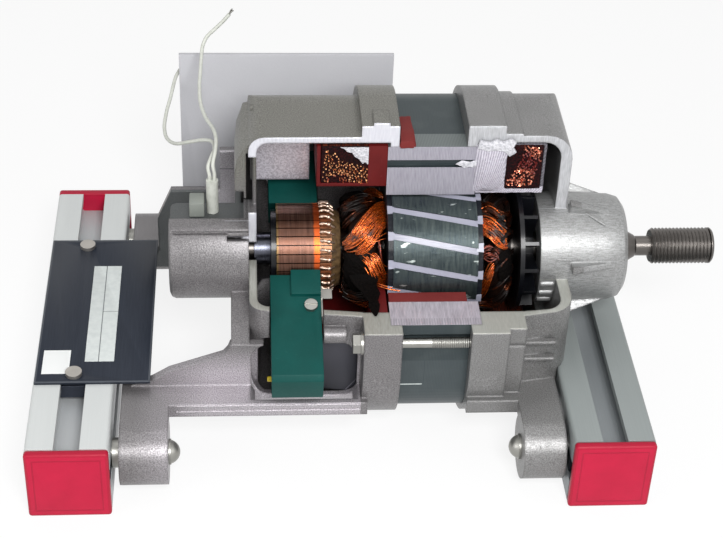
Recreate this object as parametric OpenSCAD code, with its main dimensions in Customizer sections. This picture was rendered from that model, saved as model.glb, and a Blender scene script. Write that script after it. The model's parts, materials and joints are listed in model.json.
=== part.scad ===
// Sectioned universal motor with a ribbed shaft end, carried on two slotted rails.
// X runs along the shaft, Y away from the open side, Z up from the floor.
// Every sx_ value is a place along the shaft, counted from the outer face of the left rail.

/* [Rails] */
// Width and height of each square rail
rail_w = 35; // [32:1:45]
// How far a rail runs past the middle of a foot, without its end cap
rail_over = 16.5; // [14:0.5:40]
// Thickness of the plate of an end cap
cap_t = 3.8; // [2:0.2:6]
// Length of the peg of an end cap that enters the rail
cap_peg_l = 8; // [4:1:15]
// Width of the mouth of a rail slot
slot_w = 10.8; // [9:0.2:12]
// Thickness of the lip beside the mouth
slot_lip = 3.2; // [2:0.2:4.5]
// Width of a rail slot behind its lips
slot_in_w = 18; // [16:0.5:20]
// Depth of a rail slot from the face of the rail
slot_depth = 10; // [8:0.5:11]
// Radius of the bore along the middle of a rail
rail_bore_r = 3.4; // [2:0.1:4]

/* [Nameplate] */
// Width of the nameplate across the rail
plate_w = 50; // [42:1:60]
// Length of the nameplate along the rail
plate_l = 105; // [80:1:130]
// Thickness of the nameplate
plate_t = 1.2; // [0.8:0.1:2]
// Distance between the two nameplate screws
plate_screw_pitch = 94; // [60:1:98]
// How far the middle of the nameplate lies behind the middle of the rail
plate_back = 0; // [-10:1:10]

/* [Feet] */
// Height of the shaft line over the floor
axis_h = 69; // [68:0.5:80]
// Distance between the front and the rear feet
foot_pitch = 154; // [150:1:164]
// Radius of a foot
foot_r = 14; // [12:0.5:15.5]
// Radius of the hole through a foot
foot_hole_r = 3.3; // [3.1:0.1:4]
// Length of a left foot along the shaft
left_foot_l = 20.7; // [16:0.5:24]
// Length of a right foot along the shaft
right_foot_l = 18.3; // [16:0.5:20]
// Length of the spacer between the left rail and a left foot
left_spacer_l = 3.3; // [2:0.1:6]
// Length of the spacer between the right rail and a right foot
right_spacer_l = 1.5; // [1:0.1:4]
// How far the ledge that joins the feet stands out from the middle of the motor
ledge_y = 63; // [60:1:66]
// Height of the rim of that ledge
ledge_h = 6.6; // [5:0.2:8]
// Thickness of the webs between the housing and the feet
web_t = 4; // [3:0.5:6]

/* [Left housing] */
// Distance from the left rail to the end wall
left_wall_off = 59; // [52:1:75]
// Length of the narrow part of the left housing
left_body_l = 48.5; // [44:0.5:58]
// Length of the wide collar round the core
collar_l = 16.3; // [14:0.5:20]
// Length over which a collar grips the core
collar_grip = 4.7; // [3:0.1:7]
// Wall thickness of the housings
wall_t = 2.8; // [2.2:0.1:3.6]
// Thickness of the left end wall
end_wall_t = 3.5; // [3:0.1:5]
// Half width of the housings
body_a = 50; // [49.5:0.5:51]
// Half height of the housings
body_b = 62; // [61:0.5:64]
// Radius of the long corners of the housings
body_r = 28; // [22:1:32]
// How much narrower the left housing is at its end wall, on each side
body_draft = 5; // [0:0.5:6]
// How far the end wall bulges out behind the cut
dome_l = 6; // [4:0.5:8]
// Half width of the collars
collar_a = 62.5; // [62:0.5:65]
// Half height of the collars
collar_b = 67.5; // [66:0.5:70]
// Radius of the long corners of the collars
collar_r = 46; // [42:1:50]

/* [Left boss] */
// Radius of the boss over the speed sensor
boss_r = 22; // [20:0.5:24]
// Length of the boss outside the end wall
boss_l = 35; // [32:0.5:42]
// Height of the flat on the boss over the shaft line
boss_flat = 18.8; // [16:0.2:19.6]
// Height of the recess behind that flat over the shaft line
recess_z = 12.4; // [12.2:0.1:14]
// Radius of the room for the speed sensor
sensor_room_r = 11; // [10.4:0.1:11.5]

/* [Right housing] */
// Length of the stepped part beside the right collar
step_l = 7.5; // [5:0.5:10]
// Half width of the stepped part
step_a = 59.5; // [57:0.5:61]
// Length of the narrow part of the right housing
right_body_l = 22.5; // [22:0.5:30]
// Thickness of the right end wall
right_wall_t = 5; // [4:0.5:7]
// Length of the hub outside the right end wall
hub_out_l = 27.5; // [20:0.5:34]
// Length of the hub inside the right end wall
hub_in_l = 7.5; // [5:0.1:9]
// Radius of the hub
hub_r = 24; // [22:0.5:27]

/* [Cut] */
// How far in front of the shaft line the upright cut lies
cut_front = 5; // [3:0.5:7]

/* [Core] */
// Length of the fixed core
stack_l = 39; // [34:0.5:48]
// Half width of the core
core_a = 56; // [55:0.5:57]
// Half height of the core
core_b = 57; // [56:0.5:58]
// Radius of the long corners of the core
core_r = 23; // [18:1:26]
// Gap between the rotor and the bore of the core
air_gap = 0.6; // [0.4:0.1:1]
// Half width of the room for the coils
coil_room_a = 40; // [39:0.5:42]
// Half height of the room for the coils
coil_room_b = 44; // [43:0.5:46]
// Half width of the neck of a pole
neck_a = 17; // [14:0.5:18]
// Radial thickness of the face of a pole
pole_face_t = 3; // [2:0.2:3.4]
// Distance of the tie bolts from the upright middle plane
tie_y = 57; // [56.5:0.1:58]
// Distance of the tie bolts from the level middle plane
tie_z = 9; // [7:0.5:12]
// Radius of a tie bolt
tie_r = 2.2; // [1.8:0.1:2.6]

/* [Coils] */
// Length of the left end of a field coil outside the core
coil_end_l = 29; // [26:0.5:30]
// Length of the right end of a field coil outside the core
coil_end_r = 28.5; // [24:0.5:29]
// Thickness of the bobbin flange between the core and the left end of a coil
flange_l = 8.5; // [5:0.5:10]
// Thickness of the wrapping between the core and the right end of the upper coil
wrap_l = 13; // [8:0.5:15]
// Height over the shaft line at which the left end of a field coil starts
coil_left_z0 = 38.5; // [37:0.5:42]
// Height over the shaft line at which the right end of a field coil starts
coil_right_z0 = 35; // [34.5:0.5:40]
// Height over the shaft line at which the ends of a field coil stop
coil_end_z1 = 57.5; // [50:0.5:57.8]
// Wall thickness of the bobbins
bobbin_t = 1.6; // [1.2:0.1:2]

/* [Rotor] */
// Outer radius of the rotor core
rotor_r = 32; // [31:0.5:33]
// Length of the rotor core
rotor_l = 37; // [33:0.5:44]
// How far the rotor core starts to the right of the start of the fixed core
rotor_shift = 2.5; // [2.4:0.1:4]
// Thickness of the insulating plate at each end of the rotor core
end_plate_t = 2.2; // [1:0.1:2.3]
// Number of rotor slots, and of loops in each winding head
slots = 16; // [12:1:18]
// Twist of the rotor slots from end to end, in degrees
skew = 13; // [0:1:20]
// Width of the mouth of a rotor slot
slot_mouth = 3; // [2:0.2:3.6]
// Depth of a rotor slot
rotor_slot_d = 11; // [8:0.5:13]
// Length of the left winding head
left_head_l = 19.4; // [18:0.2:21]
// Outer radius of the left winding head
left_head_r = 24.4; // [23:0.2:26]
// Length of the right winding head
right_head_l = 15.2; // [13:0.2:16]
// Outer radius of the right winding head
right_head_r = 27.4; // [25:0.2:28]
// Radius of the wire bundles of the left winding head
left_bundle_r = 1.6; // [0.8:0.05:1.65]
// Radius of the wire bundles of the right winding head
right_bundle_r = 1.4; // [0.8:0.05:1.45]
// Slant of the wire bundles, in degrees round the shaft
bundle_slant = 20; // [5:1:24]

/* [Commutator] */
// Number of commutator bars
bars = 32; // [24:2:40]
// Radius of the commutator
comm_r = 20.2; // [18:0.2:22]
// Length of the commutator bars
bar_l = 19; // [16:0.5:21]
// Length of the wire hooks beside the bars
hook_l = 5.2; // [4:0.2:6]
// Gap between two bars
bar_gap = 0.5; // [0.4:0.05:0.8]
// Length of the insulating ring at the free end of the commutator
end_ring_l = 2.4; // [2:0.1:3]
// Length of the resin ring between the hooks and the winding
resin_l = 4; // [3:0.2:5]

/* [Shaft] */
// Radius of the steel spacer beside the commutator
spacer_r = 7.4; // [7:0.1:8]
// Radius of the shaft under the rotor core
shaft_r = 7; // [6.5:0.1:7.3]
// Radius of the shoulder outside the right hub
shoulder_r = 7.5; // [6.5:0.1:8]
// Radius of the neck beside the ribbed end
neck_r = 4.5; // [4:0.1:5.5]
// Length of the shoulder and the cone after it
shoulder_l = 6.6; // [5:0.2:9]
// Length of the neck
neck_l = 7.5; // [5:0.5:10]
// Outer radius of the ribbed end
rib_r = 8.2; // [7.4:0.1:10]
// Length of the ribbed end
rib_end_l = 28.3; // [20:0.1:34]
// Number of grooves in the ribbed end
grooves = 16; // [10:1:20]
// Depth of a groove
groove_d = 0.9; // [0.6:0.1:1.1]

/* [Bearings] */
// Bore radius of the left bearing
lb_in = 4; // [3.5:0.5:4.5]
// Outer radius of the left bearing
lb_out = 11; // [10.5:0.5:12]
// Width of the left bearing
lb_w = 7; // [6:0.5:8]
// Bore radius of the right bearing
rb_in = 6; // [5.5:0.5:6.5]
// Outer radius of the right bearing
rb_out = 16; // [15:0.5:17]
// Width of the right bearing
rb_w = 10; // [9:0.5:11]
// Number of balls in each bearing
balls = 7; // [6:1:8]
// Gap between a ball and its races
ball_gap = 0.04; // [0.03:0.01:0.08]

/* [Fan] */
// Radius of the fan
fan_r = 28; // [24:0.5:28.5]
// Length of the fan along the shaft
fan_l = 8.6; // [7:0.2:9]
// Number of fan blades
blades = 14; // [8:1:18]

/* [Brush gear] */
// Angle of the brushes below the level plane at the open side
brush_angle = 18; // [14:1:24]
// Width of a brush holder along the shaft
holder_w = 22; // [20:0.5:23]
// Thickness of a brush holder
holder_t = 15; // [14:0.5:16]
// Length of a brush holder
holder_l = 54; // [50:0.5:58]
// Width of a brush along the shaft
brush_w = 12.5; // [10:0.5:14]
// Thickness of a brush
brush_t = 5; // [4:0.5:6]
// Length of a brush
brush_l = 32; // [26:1:34]
// Gap between a brush and its holder
brush_gap = 0.3; // [0.2:0.05:0.5]

/* [Rear panel] */
// Width of the rear panel
panel_w = 102; // [90:1:104]
// Height of the rear panel
panel_h = 92; // [70:1:110]
// Thickness of the rear panel
panel_t = 2; // [1.5:0.1:3]
// How far the left edge of the panel lies from the left rail
panel_off = 27; // [24:1:30]
// Height of the lower edge of the rear panel over the floor
panel_z = 26; // [23:1:31]

/* [Hidden] */

eps = 0.01;
far = 400;
fit = 0.05;
seat = 0.1;

// Places along the shaft, from the outer face of the left rail
sx_left_foot = rail_w + left_spacer_l;
sx_wall = rail_w + left_wall_off;
sx_boss = sx_wall - boss_l;
sx_left_collar = sx_wall + left_body_l;
sx_left_collar_end = sx_left_collar + collar_l;
sx_stack = sx_left_collar_end - collar_grip;
sx_stack_end = sx_stack + stack_l;
sx_right_collar = sx_stack_end - collar_grip;
sx_right_collar_end = sx_right_collar + collar_l;
sx_step_end = sx_right_collar_end + step_l;
sx_right_wall_end = sx_step_end + right_body_l;
sx_right_wall = sx_right_wall_end - right_wall_t;
sx_hub = sx_right_wall - hub_in_l;
sx_hub_end = sx_right_wall_end + hub_out_l;
sx_right_foot = sx_right_collar_end + 6.4;
sx_right_rail = sx_right_foot + right_foot_l + right_spacer_l;
sx_rotor = sx_stack + rotor_shift;
sx_rotor_end = sx_rotor + rotor_l;
sx_left_head = sx_rotor - end_plate_t - left_head_l - 0.3;
sx_right_head = sx_rotor_end + end_plate_t + 0.3;
sx_resin = sx_left_head - 0.3 - resin_l;
sx_hooks = sx_resin - hook_l;
sx_bars = sx_hooks - bar_l;
sx_end_ring = sx_bars - end_ring_l;
sx_spacer = sx_wall + end_wall_t - 1;
sx_left_bearing = sx_wall - 3 - lb_w;
sx_right_bearing = sx_right_wall_end + 5;
sx_fan = sx_hub - 0.8 - fan_l;
sx_shaft = sx_boss + 8;
sx_neck = sx_hub_end + shoulder_l;
sx_ribs = sx_neck + neck_l;
overall_l = sx_ribs + rib_end_l;

rail_l = foot_pitch + 2 * rail_over;
foot_z = rail_w / 2;
foot_y = foot_pitch / 2;
plate_x = 0.7;
plate_edge = plate_x + plate_w;
plate_gap = 0.6;
ledge_top = foot_z + foot_r;
cavity_a = body_a - wall_t;
cavity_b = body_b - wall_t;
bore_r = rotor_r + air_gap;
holder_x = sx_bars + bar_l / 2 - 1.5;
sx_notch_end = holder_x + holder_w / 2;
strip_h = 7.2;
holder_r0 = comm_r - 0.6;
brush_r0 = comm_r + 0.3;
channel_w = brush_w + 2 * brush_gap;
channel_t = brush_t + 2 * brush_gap;
holder_end_wall = 2;
spring_r0 = brush_r0 + brush_l + 0.3;
spring_r1 = holder_r0 + holder_l - holder_end_wall - 0.1;
panel_x = rail_w + panel_off;
panel_y = foot_y + 11;
rail_relief_gap = 0.6;
inner_wall_y = 22;
inner_wall_z = 22.5;
left_vent_w = 11;
left_vent_l = 17;
right_vent_w = 9;
right_vent_l = 6;
tie_head_h = 3.4;
tie_head_r = 4.6;
tie_washer_t = 1.2;
bolt_r = 3;
nut_t = 3.6;
nut_neck_w = slot_w - 0.8;
holder_screw_l = 3.8;
holder_screw_r = 1.4;
holder_head_r = 2.9;
terminal_l = 16;
terminal_w = 6;
terminal_t = 0.8;
tab_w = 5;
panel_tab_w = 12;
panel_tab_left = 14;
panel_tab_right = 26;
panel_screw_y = 6;
bolt_head_r = 5.6;
plate_head_r = 3.6;
plate_screw_r = 1.9;
plate_nut_l = 12;
foot_spacer_r = 6.5;
foot_nut_l = 22;
lead_r = 0.85;

// Routes of the two free leads, chosen by hand, as [x, y, z] in this part's own frame
lead_upper_path = [[-73.2, 12, 98], [-73.2, 12, 101.6], [-73.8, 13, 105.6], [-72.8, 17.4, 109.4],
                   [-72.4, 24, 111.5], [-73.6, 32, 111.8], [-77.2, 42, 112], [-79.6, 52, 113.4],
                   [-80.2, 62, 116.3], [-79.8, 70, 119.8], [-79.4, 76, 123.2], [-78.8, 80.4, 126.8],
                   [-76.8, 83, 130.4], [-73, 84.4, 133.8], [-69.2, 85.2, 137.4], [-66.2, 85.5, 141]];
lead_looped_path = [[-75.4, 12, 98], [-75.4, 12, 100.8], [-76, 13.6, 104], [-74.6, 17.6, 106.4],
                    [-73.2, 23, 107.4], [-74.2, 28.8, 107.4], [-78.4, 34, 105], [-84.8, 39.6, 100.4],
                    [-91.2, 46, 95.4], [-95.4, 54, 92.9], [-97, 62, 93.9], [-96.2, 71, 96.9],
                    [-94.4, 79, 100.2], [-93.2, 85, 102.9], [-92, 90.4, 104.8], [-90.2, 94.8, 106]];

function arc(c, r, a0, a1, n) = [for (i = [0:n]) let (a = a0 + (a1 - a0) * i / n)
                                 [c[0] + r * cos(a), c[1] + r * sin(a)]];

// Places

module along(sx) translate([sx - overall_l / 2, 0, axis_h]) children();
module on_floor(sx) translate([sx - overall_l / 2, 0, 0]) children();
// Extrudes an outline of Y and height along the shaft
module section(sx, l) along(sx) rotate([90, 0, 90]) linear_extrude(l) children();
// A round bar along the shaft
module bar(sx, l, r, y = 0, z = 0, n = 64)
    along(sx) translate([0, y, z]) rotate([0, 90, 0]) cylinder(r = r, h = l, $fn = n);
// Turns an outline of [radius, place along the shaft] round the shaft line
module turned(sx, points) along(sx) rotate([0, 90, 0]) rotate_extrude($fn = 96) polygon(points);
module tube(sx, l, r0, r1) turned(sx, [[r0, 0], [r1, 0], [r1, l], [r0, l]]);
module round_rect(a, b, r) {
    square([2 * a, 2 * (b - r)], center = true);
    square([2 * (a - r), 2 * b], center = true);
    for (sy = [-1, 1], sz = [-1, 1])
        translate([sy * (a - r), sz * (b - r)]) circle(r, $fn = 64);
}
// The quarter that is cut away between two places along the shaft
module cut_quarter(sx0, sx1)
    along(sx0) translate([0, -far, 0]) cube([sx1 - sx0, far - cut_front, far]);

// Rails

module rail_slot() {
    translate([-slot_w / 2, rail_w / 2 - slot_lip - eps]) square([slot_w, slot_lip + 1]);
    polygon([[-slot_in_w / 2, rail_w / 2 - slot_lip], [slot_in_w / 2, rail_w / 2 - slot_lip],
             [slot_in_w / 2, rail_w / 2 - slot_depth + 3.4], [slot_w / 2, rail_w / 2 - slot_depth],
             [-slot_w / 2, rail_w / 2 - slot_depth],
             [-slot_in_w / 2, rail_w / 2 - slot_depth + 3.4]]);
}
module rail_outline() difference() {
    round_rect(rail_w / 2, rail_w / 2, 1.5);
    for (a = [0:90:270]) rotate(a) rail_slot();
    circle(rail_bore_r, $fn = 48);
}
// Stands an outline in the plane across a rail, and extrudes it along the rail
module across_rail(sx, y, l)
    on_floor(sx) translate([rail_w / 2, y + l, rail_w / 2]) rotate([90, 0, 0])
        linear_extrude(l) children();
module rail(sx) across_rail(sx, -rail_l / 2, rail_l) rail_outline();
module end_cap(sx, side) {
    y_plate = side > 0 ? rail_l / 2 : -rail_l / 2 - cap_t;
    y_peg = side > 0 ? rail_l / 2 - cap_peg_l : -rail_l / 2;
    across_rail(sx, y_plate, cap_t) round_rect(rail_w / 2, rail_w / 2, 1.5);
    across_rail(sx, y_peg, cap_peg_l) circle(rail_bore_r - fit, $fn = 48);
}
module left_rail() color([0.78, 0.8, 0.8]) rail(0);
module right_rail() color([0.6, 0.62, 0.62]) rail(sx_right_rail);
module left_front_cap() color([0.82, 0.16, 0.29]) end_cap(0, -1);
module left_rear_cap() color([0.82, 0.16, 0.29]) end_cap(0, 1);
module right_front_cap() color([0.82, 0.16, 0.29]) end_cap(sx_right_rail, -1);
module right_rear_cap() color([0.82, 0.16, 0.29]) end_cap(sx_right_rail, 1);

// Nameplate

plate_screw_y = [for (s = [-1, 1]) plate_back + s * plate_screw_pitch / 2];
module nameplate() color([0.13, 0.15, 0.2]) difference() {
    on_floor(plate_x) translate([0, plate_back - plate_l / 2, rail_w]) cube([plate_w, plate_l, plate_t]);
    for (y = plate_screw_y)
        on_floor(rail_w / 2) translate([0, y, rail_w - 1]) cylinder(r = plate_screw_r + 0.2, h = 5, $fn = 32);
}
module nameplate_screws() color("silver") for (y = plate_screw_y) on_floor(rail_w / 2) {
    translate([0, y, rail_w + plate_t]) cylinder(r = plate_head_r, h = 1.8, $fn = 48);
    translate([0, y, rail_w - slot_depth + 0.5])
        cylinder(r = plate_screw_r, h = slot_depth - 0.5 + plate_t + eps, $fn = 32);
}
// A nut in a rail slot, with its neck in the mouth, along +Z from the face of the rail
module slot_nut(hole_r, l) difference() {
    union() {
        translate([-slot_in_w / 2 + 0.6, -l / 2, -slot_lip - nut_t])
            cube([slot_in_w - 1.2, l, nut_t]);
        translate([-nut_neck_w / 2, -l / 2, -slot_lip - eps]) cube([nut_neck_w, l, slot_lip - 0.5]);
    }
    translate([0, 0, -slot_depth]) cylinder(r = hole_r, h = slot_depth + 2, $fn = 32);
}
module nameplate_nuts() color("silver") for (y = plate_screw_y)
    on_floor(rail_w / 2) translate([0, y, rail_w]) slot_nut(plate_screw_r + fit, plate_nut_l);

// Feet: bolts, spacers and nuts. Each is [place of the rail face, side along the shaft]
left_face = rail_w;
right_face = sx_right_rail;
module at_feet() for (y = [-foot_y, foot_y]) {
    on_floor(left_face) translate([0, y, foot_z]) rotate([0, 90, 0]) children(0);
    on_floor(right_face) translate([0, y, foot_z]) rotate([0, -90, 0]) children(1);
}
module foot_bolt(l) {
    translate([0, 0, -slot_depth + 0.6]) cylinder(r = bolt_r, h = slot_depth - 0.6 + l + eps, $fn = 48);
    translate([0, 0, l]) cylinder(r = bolt_head_r, h = 1, $fn = 48);
    intersection() {
        translate([0, 0, l - 0.4]) sphere(r = bolt_head_r - 0.3, $fn = 64);
        translate([0, 0, l + 1 - eps]) cylinder(r = bolt_head_r, h = bolt_head_r, $fn = 48);
    }
}
module foot_bolts() color("silver") at_feet() {
    foot_bolt(left_spacer_l + left_foot_l);
    foot_bolt(right_spacer_l + right_foot_l);
}
module foot_spacer(l) difference() {
    cylinder(r = foot_spacer_r, h = l, $fn = 48);
    translate([0, 0, -1]) cylinder(r = bolt_r + fit, h = l + 2, $fn = 48);
}
module foot_spacers() color("silver") at_feet() {
    foot_spacer(left_spacer_l);
    foot_spacer(right_spacer_l);
}
module foot_nuts() color("silver") at_feet() {
    slot_nut(bolt_r + fit, foot_nut_l);
    slot_nut(bolt_r + fit, foot_nut_l);
}

// Housings

// Outline of half size h0 at a closed end and h1 at the open end, with rounded corners
function shell_profile(l, h0, h1, rc) = concat(
    [[l, -h1]], arc([rc, -h0 + rc], rc, 270, 180, 5), arc([rc, h0 - rc], rc, 180, 90, 5), [[l, h1]]);
module shell_block(l, a0, a1, b, r, rc) intersection() {
    rotate([90, 0, 90]) linear_extrude(l) round_rect(max(a0, a1), b, r);
    translate([0, 0, -far / 2]) linear_extrude(far) polygon(shell_profile(l, a0, a1, rc));
    rotate([90, 0, 0]) translate([0, 0, -far / 2])
        linear_extrude(far) polygon(shell_profile(l, b, b, rc));
}
module collar(sx) section(sx, collar_l) round_rect(collar_a, collar_b, collar_r);
module core_pocket(sx) section(sx, collar_grip + 1) round_rect(core_a + fit, core_b + fit, core_r);

// One foot, from the face beside its spacer, on the front or the rear side
module foot_block(sx, l, side) {
    bar(sx, l, foot_r, side * foot_y, foot_z - axis_h);
    on_floor(sx) translate([0, side > 0 ? body_a - web_t : -foot_y, ledge_top - ledge_h])
        cube([l, foot_y - body_a + web_t, ledge_h]);
}
module foot_holes(sx, l) for (y = [-foot_y, foot_y])
    bar(sx - 1, l + 2, foot_hole_r, y, foot_z - axis_h, 48);
module ledge(sx0, sx1, side)
    on_floor(sx0) translate([0, side > 0 ? body_a - web_t : -ledge_y, ledge_top - ledge_h])
        cube([sx1 - sx0, ledge_y - body_a + web_t, ledge_h]);
// An upright web beside the housing, from an outline of [place along the shaft, height]
module web(side, points)
    on_floor(0) translate([0, side > 0 ? body_a : -body_a + web_t, 0]) rotate([90, 0, 0])
        linear_extrude(web_t) polygon(points);

holder_slot_pad = 0.6;
notch_r0 = comm_r + 11.8;
notch_r1 = holder_r0 + holder_l + 6.4;
notch_h = holder_t + 25;
dome_r = 20;
module left_front_web() {
    web(-1, [
        [sx_left_foot, ledge_top - ledge_h], [sx_wall + 6, ledge_top - ledge_h],
        [sx_wall + 6, axis_h - 15], [sx_wall - 8.4, axis_h - 15], [sx_wall - 9.4, axis_h - 18],
        [sx_wall - 11.5, axis_h - 20.8],
        [sx_left_foot + left_foot_l, ledge_top + 8], [plate_edge + plate_gap, rail_w - plate_gap],
        [sx_left_foot + 5, ledge_top + 1], [sx_left_foot, ledge_top - 3]]);
    // rib from the web up to the boss
    section(sx_wall - 8, 8 + eps) polygon([
        [-body_a, ledge_top - axis_h], [-body_a, -15], [-boss_r + 4, -8], [-boss_r + 4, -16],
        [-body_a + web_t + 2, -24], [-body_a + web_t, ledge_top - axis_h]]);
}
module left_rear_web() web(1, [
    [sx_left_foot, ledge_top - ledge_h], [sx_wall + 6, ledge_top - ledge_h],
    [sx_wall + 6, axis_h + 22], [sx_wall - 13, axis_h + 22], [sx_wall - 13, axis_h],
    [sx_left_foot + left_foot_l - 1, axis_h], [plate_edge + plate_gap, axis_h - 16],
    [plate_edge + plate_gap, rail_w - plate_gap], [sx_left_foot + 5, ledge_top + 1],
    [sx_left_foot, ledge_top - 3]]);
// The end wall bulges out behind the cut; shrunk by the wall it gives the room inside
module dome(shrink) intersection() {
    along(sx_wall - dome_l + shrink) shell_block(dome_r, body_a - body_draft - shrink,
        body_a - body_draft - shrink, body_b - shrink, body_r - shrink, dome_r - shrink);
    along(sx_wall - dome_l - 1) translate([0, -2 + shrink, -body_b])
        cube([dome_l + 3, body_a, 2 * body_b]);
}
module left_housing_solid() {
    along(sx_wall) shell_block(left_body_l + eps, body_a - body_draft, body_a, body_b, body_r, 7);
    collar(sx_left_collar);
    dome(0);
    bar(sx_wall - 8, 8 + eps, boss_r);
    turned(sx_boss, [[0, 0], [boss_r - 2.5, 0], [boss_r - 0.8, 0.8], [boss_r, 2.5],
                     [boss_r, boss_l - 4], [0, boss_l - 4]]);
    // half round along the flank, in line with the tie bolt
    bar(sx_notch_end, sx_left_collar - 7 - sx_notch_end, 3.6, -body_a - 1, -tie_z);
    // strap lug on top of the collar
    along(sx_left_collar + 5) translate([0, -6, collar_b - 1]) cube([7, 12, 2.6]);
    for (side = [-1, 1]) {
        foot_block(sx_left_foot, left_foot_l, side);
        ledge(sx_left_foot + left_foot_l - 2.5, sx_left_collar + 2.5, side);
    }
    left_front_web();
    left_rear_web();
}
module left_cavity() {
    along(sx_wall + end_wall_t)
        shell_block(left_body_l, body_a - body_draft - wall_t, cavity_a, cavity_b, body_r - wall_t, 5);
    section(sx_left_collar - eps, sx_stack - sx_left_collar + 1)
        round_rect(cavity_a, cavity_b, body_r - wall_t);
    core_pocket(sx_stack);
    difference() {
        dome(wall_t);
        bar(sx_wall - dome_l - 1, dome_l + 4, boss_r);
    }
}
// Rounded opening in the flank, for the brush holder
module flank_window() {
    l = left_body_l - 2;
    z0 = ledge_top - ledge_h - 3;
    z1 = axis_h - 15;
    on_floor(sx_wall + 0.5 + l / 2) translate([0, -body_a + 12, (z0 + z1) / 2])
        rotate([90, 0, 0]) linear_extrude(ledge_y - 3 - body_a + 12)
            round_rect(l / 2, (z1 - z0) / 2, 8);
}
module holder_box(pad, r0, r1) along(holder_x) rotate([brush_angle, 0, 0])
    translate([-holder_w / 2 - pad, -r1, -holder_t / 2 - pad])
        cube([holder_w + 2 * pad, r1 - r0, holder_t + 2 * pad]);
// The front holder lies in a notch that is open above it
module holder_notch() along(holder_x) rotate([brush_angle, 0, 0])
    translate([-holder_w / 2 - holder_slot_pad, -notch_r1, -holder_t / 2 - holder_slot_pad])
        cube([holder_w + 2 * holder_slot_pad, notch_r1 - notch_r0, notch_h]);
module half_turn() translate([0, 0, axis_h]) rotate([180, 0, 0]) translate([0, 0, -axis_h]) children();
module boss_cuts() {
    // flat on top, lower shelf behind it, and the line under the flat
    along(sx_boss - 1) translate([0, -boss_r, boss_flat]) cube([boss_l + 1, 2 * boss_r, 10]);
    along(sx_boss - 1) translate([0, -3, recess_z]) cube([boss_l - 1, 2 * boss_r, 20]);
    along(sx_boss + 1.5) translate([0, -boss_r, boss_flat - 1.6]) cube([boss_l - 1.5, 10.4, 1]);
    // pocket that opens the seat of the bearing to view
    section(sx_wall - 9.5, 10) polygon([
        [-cut_front, lb_out - 1.8], [-cut_front, lb_out + 2.2], [-cut_front - 6, boss_flat - 1.8],
        [-boss_r - 1, boss_flat - 1.8], [-boss_r - 1, boss_flat - 3.4], [-cut_front - 10, boss_flat - 3.4]]);
    bar(sx_boss - 1, boss_l - 3 - lb_w - 2 + 1, sensor_room_r);
    bar(sx_left_bearing - 3, lb_w + 3, lb_out + fit);
    bar(sx_wall - 4, 10, spacer_r + 1.2);
}
module left_vents() for (a = [140:40:220])
    along(sx_wall - 1) rotate([a, 0, 0]) translate([0, -left_vent_w / 2, boss_r + 5])
        cube([end_wall_t + 2, left_vent_w, left_vent_l]);
module left_housing() color([0.62, 0.62, 0.6]) difference() {
    union() {
        difference() {
            left_housing_solid();
            left_cavity();
            flank_window();
        }
        // inner wall behind the brush gear and seat of the bearing
        along(sx_wall + 1) translate([0, inner_wall_y, inner_wall_z])
            cube([left_body_l - inner_wall_y, 3, cavity_b + 1 - inner_wall_z]);
        bar(sx_wall - 3, 3 + end_wall_t, lb_out + 3.6);
    }
    boss_cuts();
    holder_notch();
    half_turn() holder_box(holder_slot_pad, notch_r0, notch_r1);
    cut_quarter(sx_wall, sx_left_collar_end + 1);
    // window in the end wall beside the cut
    along(sx_wall - 1) translate([0, -20, 23]) cube([end_wall_t + 2, 22, 29]);
    left_vents();
    foot_holes(sx_left_foot, left_foot_l);
    tie_holes(sx_left_collar - 1, collar_l + 2);
}
module tie_holes(sx, l) for (s = [-1, 1]) bar(sx, l, tie_r + seat, s * tie_y, s * tie_z, 32);

module hub_rib() along(sx_right_wall_end - 1) translate([0, -1.5, 0]) rotate([90, 0, 0]) mirror([0, 0, 1])
    linear_extrude(3) polygon([[0, 0], [0, hub_r + 7], [3, hub_r + 6.5],
                               [hub_out_l - 4, hub_r - 1], [hub_out_l - 4, 0]]);
module right_housing_solid() {
    collar(sx_right_collar);
    section(sx_right_collar_end - eps, step_l + 2 * eps) round_rect(step_a, body_b + 1.5, 40);
    along(sx_right_wall_end) mirror([1, 0, 0])
        shell_block(right_body_l + eps, body_a - 1.5, body_a + 0.5, body_b + 0.5, body_r, 12);
    turned(sx_hub, [[0, 0], [hub_r - 1.5, 0], [hub_r + 1, hub_in_l + right_wall_t],
                    [hub_r, sx_hub_end - sx_hub - 6], [hub_r - 1.2, sx_hub_end - sx_hub - 2],
                    [hub_r - 4, sx_hub_end - sx_hub], [0, sx_hub_end - sx_hub]]);
    for (a = [15:60:360]) translate([0, 0, axis_h]) rotate([a, 0, 0]) translate([0, 0, -axis_h])
        hub_rib();
    for (side = [-1, 1]) {
        foot_block(sx_right_foot, right_foot_l, side);
        ledge(sx_right_collar + eps, sx_right_foot + right_foot_l, side);
    }
    // flank ribs beside the collar, front and rear
    for (side = [-1, 1], z = [-15, -24]) along(sx_right_collar_end - eps)
        translate([0, side > 0 ? body_a - 1 : -body_a - 2.2, z]) cube([right_body_l, 3.2, 1.6]);
}
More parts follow.
